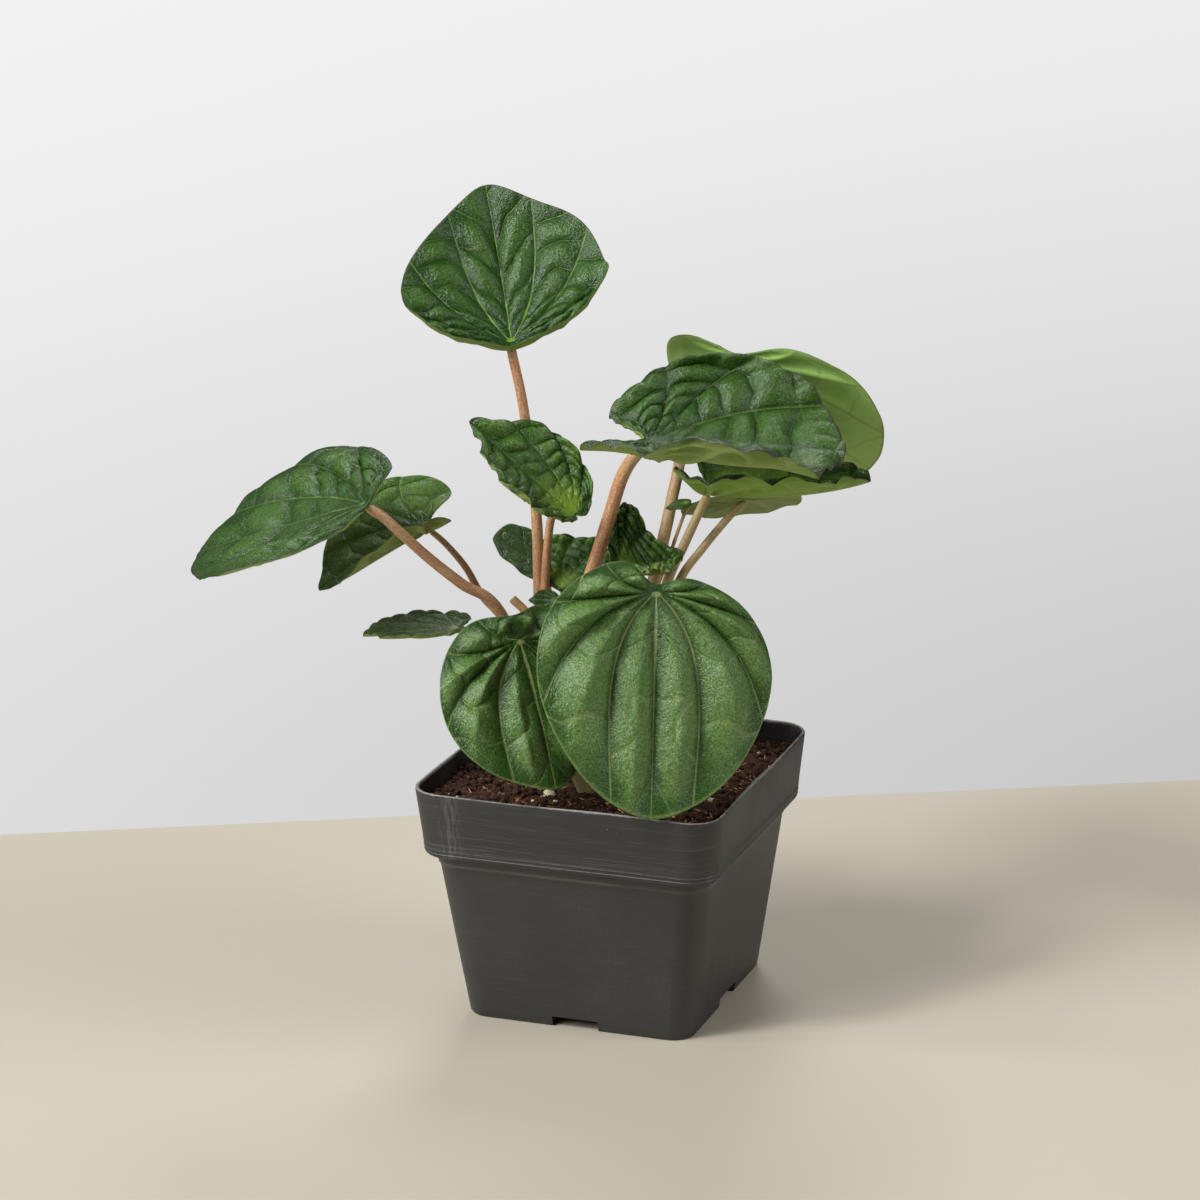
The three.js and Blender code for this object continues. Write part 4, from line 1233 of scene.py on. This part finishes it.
def bend(graph, size, x, y, z, right):
    """Folds and curls the blade about its midrib, then arches it along its length."""
    fold = by_side(right, size["Fold left"], size["Fold right"]).maths("RADIANS")
    curl = by_side(right, size["Curl left"], size["Curl right"]) + LEAST_BEND
    k = curl.maths("RADIANS") / (size["Width"] * 0.5)
    round_x = (x * x + FOLD_ROUND**2).maths("SQRT")
    ax = round_x - FOLD_ROUND
    slope = fold + k * ax
    across = (slope.maths("SINE") - fold.maths("SINE")) / k
    up = (fold.maths("COSINE") - slope.maths("COSINE")) / k
    sign = right * 2.0 - 1.0
    bx = sign * (across + x.maths("ABSOLUTE") - ax) - z * slope.maths("SINE") * x / round_x
    bz = up + z * slope.maths("COSINE")
    behind = (y * -1.0).maths("MAXIMUM", 0.0)
    twist = (size["Twist"] * behind / size["Length"]).maths("RADIANS")
    sine, cosine = twist.maths("SINE"), twist.maths("COSINE")
    bx, bz = bx * cosine - bz * sine, bx * sine + bz * cosine
    lifted = (behind * behind + HEEL_ROUND**2).maths("SQRT") - HEEL_ROUND
    bz = bz + size["Heel"] * lifted
    front = y.maths("GREATER_THAN", 0.0)
    arch = by_side(front, size["Arch heel"], size["Arch front"]) + LEAST_BEND
    arch = arch.maths("RADIANS") / size["Length"]
    turn = arch * y
    sine, cosine = turn.maths("SINE"), turn.maths("COSINE")
    return graph.vector(bx, sine / arch + bz * sine, bz * cosine - (1.0 - cosine) / arch)


print("the midrib is rounded over", FOLD_ROUND, "mm")

# %% [markdown]
# ### Two faces
# A blade is under a millimetre thick and thins out at its rim. A Solidify modifier would leave a
# square edge all round. Instead two copies of the sheet are moved apart, less and less towards
# the rim, and welded there. The lower one also carries the ribs of the main veins.

# %% Two faces
BLADE_HALF = 0.4
RIB = 0.7


def store(graph, geometry, name, value, kind="FLOAT", domain="POINT"):
    settings = {"data_type": kind, "domain": domain}
    sockets = {"Geometry": geometry, "Name": name, "Value": value}
    return graph.node("GeometryNodeStoreNamedAttribute", settings, sockets)


def two_faces(graph, sheet, weld):
    """Gives the sheet its thickness, down to nothing at the rim, and ribs under its veins."""
    normal = graph.node("GeometryNodeInputNormal")
    rho, aside, bow = (read(graph, name) for name in ("rim", "aside", "spread"))
    half = BLADE_HALF * (1.0 - rho**7.0).maths("MAXIMUM", 0.0).maths("SQRT")
    rib = (aside / 0.75).bell(1.0) * (1.0 - rho) * (bow / 3.0).maths("MINIMUM", 1.0) * RIB
    faces = []
    for amount in (half, (half + rib) * -1.0):
        sockets = {"Geometry": sheet, "Offset": graph.scaled(normal, amount)}
        faces.append(graph.node("GeometryNodeSetPosition", None, sockets))
    under = graph.node("GeometryNodeFlipFaces", None, [faces[1]])
    under = store(graph, under, "under", 1.0, "FLOAT", "FACE")
    both = graph.node("GeometryNodeJoinGeometry", None, [[faces[0], under]])
    sockets = {"Geometry": both, "Distance": weld}
    return graph.node("GeometryNodeMergeByDistance", None, sockets)


print("a blade is", 2 * BLADE_HALF, "mm thick, with ribs of", RIB, "mm under its veins")

# %% [markdown]
# ### The blade rule
# Now the steps come together in one tree with all sizes as named inputs. The rule also stores
# where each point lies on the leaf, as attributes, so that the finishes can follow veins and
# puffs. There is one tree for blades with many veins and one for those with few.

# %% The blade rule
SECTOR_ROOM = 0.31
WELD = 0.0002
BLADE_SIZES = {
    "Columns": 161, "Rings": 52, "Length": 60.0, "Width": 60.0, "Lobe": 10.0, "Tip": 2.0,
    "Gap": 2.0, "Fold left": 0.0, "Fold right": 0.0, "Curl left": 0.0, "Curl right": 0.0,
    "Arch front": 0.0, "Arch heel": 0.0, "Wide": 0.0, "Skew": 0.0, "Converge": 0.5,
    "Puff": 1.0, "Quilt": 0.5, "Rungs": 5.0, "Slant": 0.8, "Wrinkle": 0.1, "Rim": 0.3,
    "Crest": 2.2, "Tip spread": 0.28, "Notch": 0.36, "Lip left": 0.0, "Lip right": 0.0,
    "Lip heel": 0.0, "Bulge": 0.0, "Bulge at": 0.7, "Bulge width": 0.25, "Nip": 0.0,
    "Nip at": 1.8, "Twist": 0.0, "Heel": 0.0, "Frill": 0.0, "Frills": 3.0,
    "Wave height": 0.5, "Wave count": 9.0, "Seed": 0.0, "Upper": None, "Lower": None,
}


def blade_rule(veins):
    graph, size = new_rule("blade_with_" + veins + "_veins", BLADE_SIZES)
    ends, starts = VEINS[veins]
    sockets = {0: 2.0, 1: 1.0, 2: size["Columns"], 3: size["Rings"]}
    grid = graph.node("GeometryNodeMeshGrid", None, sockets)
    u, v, _ = graph.split(graph.node("GeometryNodeInputPosition"))
    rho = 1.0 - (0.5 - v).maths("MAXIMUM", 0.0) ** 1.25
    right = u.maths("GREATER_THAN", -1e-5)
    across = u.maths("ABSOLUTE") * float(SECTORS)
    angle = vein_angle(across, ends)
    start = vein_angle(across, starts)
    angle = angle + (start - angle) * size["Converge"] * (1.0 - rho) ** 1.3
    flat = heart(size, rho, angle, right)
    height, rung = relief(graph, size, across, rho, angle, right, flat)
    spread = rho * size["Width"] * SECTOR_ROOM
    aside = across.to_whole() * spread + across.step(4.4, 4.6) * 9.0
    marked = store(graph, grid, "veins", graph.vector(u * 5.0, rho, 0.0), "FLOAT2", "CORNER")
    marks = {"rim": rho, "spread": spread, "aside": aside, "rung": rung, "height": height}
    for name, value in marks.items():
        marked = store(graph, marked, name, value)
    place = bend(graph, size, *flat, height, right)
    shaped = graph.node("GeometryNodeSetPosition", None, {"Geometry": marked, "Position": place})
    weld = size["Width"] * WELD
    welded = graph.node("GeometryNodeMergeByDistance", None, {"Geometry": shaped, "Distance": weld})
    end_rule(graph, two_faces(graph, welded, weld), size["Upper"], size["Lower"])
    return graph


BLADE_RULES = {veins: blade_rule(veins) for veins in VEINS}
print("blade sizes:", ", ".join(BLADE_SIZES))

# %% [markdown]
# ### Upper face
# From above the blade is a deep, wet-looking green with fine pale veins and a thin coloured rim.
# Shade is painted into the valleys, and painted light and a speckled painted sheen onto the ridges.
# Painting it would need pictures. Here the attributes of the blade rule say where veins and ridges
# are, and noise does the rest.

# %% Upper face
VEIN = (0.17, 0.30, 0.05)
PALE_VEIN = (0.36, 0.42, 0.16)
RED_EDGE = (0.05, 0.03, 0.03)
JOINT_GLOW = (0.24, 0.40, 0.04)
DARK_SPOT = (0.012, 0.022, 0.006)
LEAF_SCATTER = (0.0012, 0.0026, 0.0004)


def blade_upper(
        name, valley, ridge, vein=VEIN, vein_show=0.4, edge=RED_EDGE, glow=0.0, glow_end=0.5,
        spots=0.0, gloss=0.4):
    """The upper face: painted shade in the valleys, painted light and sheen on the ridges, fine
    vein lines, a thin edge.
    """
    finish = Finish(name)
    where = finish.node("ShaderNodeUVMap", {"uv_map": "veins"})
    u, rho, _ = finish.split(where)
    rung, height = finish.attribute("rung"), finish.attribute("height")
    spread = finish.attribute("spread")
    across = u.maths("ABSOLUTE")
    nearest = across.to_whole()
    wander = finish.noise(finish.place, 0.25, 2.0) - 0.5
    aside = nearest * spread + across.step(4.4, 4.6) * 9.0
    main = (aside + wander * 0.3).step(0.5, 0.2) * nearest.step(0.16, 0.05)
    main = (main * (1.0 - rho * 0.6)).maths("MAXIMUM", spread.step(0.9, 0.3))
    to_rung = rung.to_whole()
    side = (to_rung + wander * 0.05).step(0.03, 0.01) * aside.step(0.4, 1.2)
    speck = finish.noise(finish.place, 1.7, 2.0, 0.6)
    patch = finish.noise(finish.place, 0.12, 3.0)
    # Valleys darker and ridges lighter by height: painted shade in the valleys, painted light on
    # the ridges.
    high = (height / 2.0 + (patch - 0.5) * 0.9).step(0.0, 1.1)
    colour = finish.mix(high, valley, ridge)
    # pale is a painted sheen: light speckles, mostly on the ridges.
    pale = tuple(c * 2.2 + 0.02 for c in ridge)
    colour = finish.mix(speck.step(0.48, 0.66) * (high * 0.35 + 0.08), colour, pale)
    colour = finish.mix(speck.step(0.46, 0.34) * 0.45, colour, tuple(c * 0.45 for c in valley))
    colour = finish.mix(rho.step(glow_end, 0.02) * glow, colour, JOINT_GLOW)
    dark = finish.noise(finish.place, 0.55, 3.0, 0.65).step(0.60, 0.68) * rho.step(0.62, 0.3)
    colour = finish.mix(dark * spots * nearest.step(0.0, 0.2), colour, DARK_SPOT)
    colour = finish.mix(side * vein_show * 0.25, colour, vein)
    colour = finish.mix(main * vein_show, colour, vein)
    colour = finish.mix(rho.step(0.978, 0.992) * 0.6, colour, edge)
    finish.set("Base Color", colour)
    finish.set("Roughness", 0.15 + patch * 0.18 + speck * 0.06)
    finish.set("Subsurface Weight", 0.04)
    finish.set("Subsurface Radius", LEAF_SCATTER)
    finish.set("Specular IOR Level", gloss)
    grain = finish.noise(finish.place, 0.7, 3.0, 0.6)
    crease = to_rung.step(0.07, 0.0) * 0.5 + main * 0.15
    finish.bump(grain * 1.2 + speck * 0.8 - crease, 0.35)
    return finish.material


print("an upper face can have spots, a glow at the joint, pale veins and its own gloss")

# %% [markdown]
# ### Kinds of leaves
# Old leaves are the darkest and young ones fresher and yellow-green at the joint. The front ones
# are spotted and painted lighter, as if lit, the cupped ones on the left duller and painted a
# lighter green for light shining through, and the low one a pale grey-green for the painted sheen
# of a grazing view. They share the shader and differ only in a few colours and shares, so a table
# says it all.

# %% Kinds of leaves
# Green of the valleys, with painted shade, and of the ridges, with painted light, and what else
# sets a kind of leaf apart.
UPPERS = {
    "mature": dict(valley=(0.012, 0.044, 0.003), ridge=(0.041, 0.099, 0.013), vein_show=0.6),
    "topmost": dict(
        valley=(0.009, 0.042, 0.002), ridge=(0.036, 0.096, 0.010), vein=(0.19, 0.37, 0.04),
        vein_show=0.9, edge=(0.07, 0.09, 0.03)),
    # The front leaves are painted lighter, as light falls full on them; their spots are their own.
    "front": dict(
        valley=(0.020, 0.070, 0.006), ridge=(0.094, 0.176, 0.044), vein=PALE_VEIN,
        vein_show=0.8, edge=(0.16, 0.24, 0.07), spots=0.7),
    "funnel": dict(
        valley=(0.014, 0.050, 0.004), ridge=(0.050, 0.118, 0.016), vein_show=0.5, glow=0.9,
        glow_end=0.95),
    "young": dict(
        valley=(0.022, 0.070, 0.006), ridge=(0.060, 0.135, 0.016), vein_show=0.25, glow=0.9),
    "shaded": dict(valley=(0.040, 0.090, 0.020), ridge=(0.080, 0.150, 0.040)),
    # A lighter green: painted light, as if shining through the cup.
    "cupped": dict(
        valley=(0.045, 0.105, 0.012), ridge=(0.095, 0.175, 0.030), vein=PALE_VEIN,
        vein_show=0.6, edge=(0.14, 0.20, 0.07), gloss=0.22),
    # Pale grey-green: painted sheen of the grazing view and painted light where the leaf lies in
    # shadow.
    "greyish": dict(
        valley=(0.085, 0.140, 0.050), ridge=(0.150, 0.215, 0.095), vein=(0.36, 0.44, 0.24),
        vein_show=0.9, edge=(0.20, 0.26, 0.12), gloss=0.3),
}
UPPER_SKINS = {kind: blade_upper(kind + "_leaf", **look) for kind, look in UPPERS.items()}
print("upper faces:", ", ".join(UPPER_SKINS))

# %% [markdown]
# ### Underside
# From below the blade is pale and matt, and light from behind shines through it. A translucent
# shader could show that, but it wouldn't outlast an export to other programs, so the leaves that
# are lit from behind simply have a lighter, yellower green. Ribs are paler, and shade is painted
# into the pockets under the puffs.

# %% Underside
UNDER_GLOW = (0.26, 0.46, 0.05)
UNDER_EDGE = (0.08, 0.09, 0.03)


def blade_under(name, flesh, shade, vein, glow=0.0):
    """The lower face: pale and matt, with painted shade in the pockets under the puffs, and fine
    veins.
    """
    finish = Finish(name)
    rho, aside = finish.attribute("rim"), finish.attribute("aside")
    rung, height = finish.attribute("rung"), finish.attribute("height")
    to_rung = rung.to_whole()
    patch = finish.noise(finish.place, 0.12, 3.0)
    speck = finish.noise(finish.place, 1.7, 2.0, 0.6)
    # Painted shade: the pockets under the puffs are darkened by their height.
    pocket_shade = (height / 2.2 + (patch - 0.5) * 0.8).step(0.1, 1.0)
    colour = finish.mix(pocket_shade * 0.8, flesh, shade)
    colour = finish.mix(speck.step(0.45, 0.65) * 0.3, colour, shade)
    colour = finish.mix(rho.step(1.2, 0.3) * glow, colour, UNDER_GLOW)
    colour = finish.mix(aside.step(1.4, 0.2) * (1.0 - rho * 0.6) * 0.8, colour, vein)
    colour = finish.mix(to_rung.step(0.08, 0.02) * 0.3, colour, vein)
    colour = finish.mix(rho.step(0.98, 0.993) * 0.5, colour, UNDER_EDGE)
    finish.set("Base Color", colour)
    finish.set("Roughness", 0.6)
    finish.set("Specular IOR Level", 0.3)
    finish.set("Subsurface Weight", 0.1)
    finish.set("Subsurface Radius", LEAF_SCATTER)
    finish.bump(speck * 0.5 + patch * 0.5 - to_rung.step(0.08, 0.0) * 0.3, 0.25)
    return finish.material


UNDERS = {
    "pale": dict(flesh=(0.26, 0.36, 0.10), shade=(0.17, 0.26, 0.05), vein=(0.38, 0.44, 0.18)),
    "lit": dict(flesh=(0.35, 0.56, 0.15), shade=(0.22, 0.42, 0.08), vein=(0.16, 0.32, 0.06)),
    "glowing": dict(
        flesh=(0.24, 0.36, 0.09), shade=(0.14, 0.25, 0.04), vein=(0.34, 0.44, 0.14), glow=0.8),
}
UNDER_SKINS = {kind: blade_under(kind + "_underside", **look) for kind, look in UNDERS.items()}
print("undersides:", ", ".join(UNDER_SKINS))

# %% [markdown]
# ### Grow the blades
# Each row of the leaf table becomes the inputs of the rule, and names of inputs and of measures
# match, so that a loop can pair them. Large blades get a finer grid than small ones. The result
# lies flat at the origin in millimetres; one matrix scales it, turns it and sets it on its stalk.

# %% Grow the blades
# Least length and width together, in millimetres, with the columns and rings of the grid.
GRIDS = ((60, 241, 76), (30, 141, 48), (0, 61, 20))
USUAL_FACES = ("mature", "pale")
FACES = {
    "blade_top": ("topmost", "pale"),
    "blade_left_second": ("cupped", "pale"),
    "blade_left_low": ("greyish", "pale"),
    "blade_young_middle": ("young", "pale"),
    "blade_behind_stalks": ("shaded", "pale"),
    "blade_young_curly": ("young", "pale"),
    "blade_young_right": ("young", "pale"),
    "blade_back_right": ("shaded", "lit"),
    "blade_right_lower": ("funnel", "glowing"),
    "blade_right_droop": ("shaded", "pale"),
    "blade_front_big": ("front", "pale"),
    "blade_front_left": ("front", "pale"),
    "blade_tiny_back": ("young", "pale"),
}


def blade_sizes(leaf, seed):
    """The inputs of the blade rule, filled from a leaf's row."""
    groups = {
        "size": ("Length", "Width", "Lobe", "Tip"), "fold": ("Fold left", "Fold right"),
        "curl": ("Curl left", "Curl right"), "arch": ("Arch front", "Arch heel"),
        "wave": ("Wave height", "Wave count"),
    }
    sizes = {}
    for key, names in groups.items():
        sizes.update(zip(names, leaf[key]))
    reach = sizes["Length"] + sizes["Width"]
    for name, usual in BLADE_SIZES.items():
        if name not in sizes and usual is not None:
            sizes[name] = leaf.get(name.lower().replace(" ", "_"), usual)
    sizes = {name: float(value) for name, value in sizes.items()}
    grid = next((columns, rings) for least, columns, rings in GRIDS if reach > least)
    sizes["Columns"], sizes["Rings"] = grid
    sizes["Seed"] = float(seed)
    return sizes


def add_blade(name, seed):
    leaf = LEAVES[name]
    upper, lower = FACES.get(name, USUAL_FACES)
    sizes = blade_sizes(leaf, seed)
    sizes.update({"Upper": UPPER_SKINS[upper], "Lower": UNDER_SKINS[lower]})
    piece = grow("grown_" + name, BLADE_RULES[leaf.get("veins", "many")], sizes)
    piece.data.transform(Matrix.Scale(MM, 4) @ blade_frame(leaf))
    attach(piece, "root")
    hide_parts(name)
    return piece


for seed, name in enumerate(LEAVES):
    piece = add_blade(name, seed)
    print(piece.name, "has", len(piece.data.polygons), "faces")

# %% [markdown]
# ## Soil
# Potting soil is peat, bark fibre and white perlite. The ground is a lumpy skin that fills the pot
# to just under the rim, rings of points like the pot itself, so that it follows the round corners.
# A few waves and two sizes of noise lift it: a flat face with bump alone would show at its edge.

# %% Ground
SOIL_Z = 70.5
SOIL_CLEAR = 0.4
SOIL_RINGS = 46
SOIL_FINER = 6
SOIL_SIDE = (50, 54)


def ground_height(x, y):
    bump = 0.5 * math.sin(0.31 * x + 1.3) * math.cos(0.27 * y + 0.4)
    bump += 0.3 * math.sin(0.67 * x - 0.52 * y + 2.1)
    bump += 0.2 * math.cos(1.13 * x + 0.94 * y)
    lump = noise.noise(Vector((x, y, 0)) * 0.35) * 0.9 + noise.noise(Vector((x, y, 5)) * 1.1) * 0.5
    return SOIL_Z - 0.02 * y + 1.1 * bump + lump


def ground_rings():
    """From the hidden floor of the fill up its side and over the top to the middle."""
    inset = WALL + SOIL_CLEAR
    room = band_width(SOIL_Z) - 2 * inset
    rings = [
        square_ring(body_width(z) - 2 * inset, body_corner(z) - inset, z, SOIL_FINER)
        for z in SOIL_SIDE
    ]
    for k in range(SOIL_RINGS):
        share = 1 - k / SOIL_RINGS
        ring = square_ring(room * share, (CORNER_TOP - inset) * share, 0, SOIL_FINER)
        rings.append([Vector((p.x, p.y, ground_height(p.x, p.y))) for p in ring])
    return rings


soil = loft("ground", ground_rings())
soil.data.shade_smooth()
print("ground has", len(soil.data.polygons), "faces")

# %% [markdown]
# ### The scatter rule
# On the ground lie hundreds of loose crumbs, short fibres and pale grains. One small pitted stone,
# set down again and again with a random size and turn, looks natural at little cost. The same
# stone, drawn out to eleven times its width, is a fibre. A fixed seed keeps each grain in place.

# %% The scatter rule
LOOSE_SIZES = {
    "Density": 0.2, "Small": 0.4, "Large": 1.0, "Long": 1.0, "Lift": 0.1, "Seed": 1, "Detail": 1,
}
PITS = 1.1


def scatter_rule(material):
    """Scatters crumbs on the upward faces: density, sizes and how long they are."""
    graph, size = new_rule("loose_matter", LOOSE_SIZES)
    up = graph.split(graph.node("GeometryNodeInputNormal"))[2].maths("GREATER_THAN", 0.6)
    points = graph.node(
        "GeometryNodeDistributePointsOnFaces", None,
        {0: size["Geometry"], 1: up, 4: size["Density"], 6: size["Seed"]},
    )
    crumb = graph.node("GeometryNodeMeshIcoSphere", None, [1.0, size["Detail"]])
    here = graph.node("GeometryNodeInputPosition")
    rough = graph.node("ShaderNodeTexNoise", None, {"Vector": here, "Scale": 1.4}, output=1)
    settings = {"operation": "SUBTRACT"}
    push = graph.node("ShaderNodeVectorMath", settings, {0: rough, 1: (0.5, 0.5, 0.5)})
    sockets = {"Geometry": crumb, "Offset": graph.scaled(push, PITS)}
    crumb = graph.node("GeometryNodeSetPosition", None, sockets)
    random_turn = graph.node(
        "FunctionNodeRandomValue", {"data_type": "FLOAT_VECTOR"},
        {0: (-0.5, -0.5, 0.0), 1: (0.5, 0.5, 6.3), 8: size["Seed"]},
    )
    random_size = graph.node(
        "FunctionNodeRandomValue", {"data_type": "FLOAT"},
        {2: 0.0, 3: 1.0, 8: size["Seed"]}, output=1,
    )
    big = size["Small"] + (size["Large"] - size["Small"]) * random_size**2.5
    scale = graph.vector(big * size["Long"], big, big * 0.8)
    lying = graph.node(
        "GeometryNodeInstanceOnPoints", None,
        {0: points, 2: crumb, 5: random_turn, 6: scale},
    )
    lift = graph.vector(0.0, 0.0, size["Lift"])
    lying = graph.node("GeometryNodeTranslateInstances", None, {0: lying, 2: lift})
    end_rule(graph, lying, material)
    return graph


print("scatter sizes:", LOOSE_SIZES)

# %% [markdown]
# ### Soil finishes
# Damp peat is nearly black with red-brown crumbs and swallows light, so its roughness is high and
# its bump deep. Bark fibre is the same brown, lighter. Perlite is a white stone, but after
# watering it is stained cream and tan. Each needs only one or two noises at its own scale.

# %% Soil finishes
SOIL_TONES = {
    "damp": (0.016, 0.008, 0.006), "peat": (0.075, 0.030, 0.016), "crumb": (0.20, 0.085, 0.040),
    "bark": (0.10, 0.038, 0.018), "fibre": (0.42, 0.21, 0.095), "cream": (0.62, 0.57, 0.42),
    "tan": (0.36, 0.30, 0.18),
}


def peat():
    finish = Finish("peat")
    clump = finish.noise(finish.place, 0.5, 4.0)
    fine = finish.noise(finish.place, 2.2, 3.0)
    colour = finish.mix(clump.step(0.3, 0.7), SOIL_TONES["damp"], SOIL_TONES["peat"])
    colour = finish.mix(fine.step(0.6, 0.75) * 0.5, colour, SOIL_TONES["crumb"])
    finish.set("Base Color", colour)
    finish.set("Roughness", 0.9)
    finish.set("Specular IOR Level", 0.2)
    finish.bump(clump * 0.5 + fine * 0.5, 0.8)
    return finish.material


def bark():
    finish = Finish("bark_fibre")
    patch = finish.noise(finish.place, 0.4, 2.0)
    colour = finish.mix(patch.step(0.3, 0.7), SOIL_TONES["bark"], SOIL_TONES["fibre"])
    finish.set("Base Color", colour)
    finish.set("Roughness", 0.8)
    return finish.material


def perlite():
    finish = Finish("perlite")
    patch = finish.noise(finish.place, 0.9, 3.0)
    colour = finish.mix(patch.step(0.35, 0.7), SOIL_TONES["cream"], SOIL_TONES["tan"])
    finish.set("Base Color", colour)
    finish.set("Roughness", 0.75)
    finish.bump(patch, 0.3)
    return finish.material


soil.data.materials.append(peat())
print("ground finished with", soil.data.materials[0].name)

# %% [markdown]
# ### Loose matter
# Crumbs are many and small, fibres fewer and long, white grains rare. Densities are per square
# millimetre, so the rule works on a copy of the ground in millimetres, and what it makes is
# scaled back to metres.

# %% Loose matter
LOOSE = {
    "peat_crumbs": (
        peat, dict(Density=0.45, Small=0.3, Large=1.5, Long=1.5, Lift=0.1, Seed=3)),
    "bark_fibres": (
        bark, dict(Density=0.11, Small=0.14, Large=0.34, Long=11.0, Lift=0.5, Seed=8)),
    "perlite_grains": (
        perlite, dict(Density=0.006, Small=0.4, Large=1.7, Long=1.2, Lift=0.4, Seed=21, Detail=2)),
}
ground = soil.data.copy()
ground.transform(Matrix.Scale(1 / MM, 4))
for name, (finish, sizes) in LOOSE.items():
    piece = grow(name, scatter_rule(finish()), sizes, ground)
    piece.data.transform(Matrix.Scale(MM, 4))
    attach(piece, "root")
    print(name, "has", len(piece.data.polygons), "faces")
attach(soil, "root")
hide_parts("soil")
print("soil and", len(LOOSE), "kinds of loose matter are in the pot")

# %% [markdown]
# ## Sizes
# The reach of the solids and of the finished plant are printed side by side, so that anyone
# can see whether the finer pieces stayed inside the room that the solids give.

# %% Sizes and finish
bpy.context.view_layer.update()
low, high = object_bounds()
sizes = {
    "cad": {"low": list(cad_low), "high": list(cad_high)},
    "visual": {"low": list(low), "high": list(high)},
}
print("solids", [round(v / MM, 1) for v in cad_high - cad_low])
print("plant ", [round(v / MM, 1) for v in high - low])
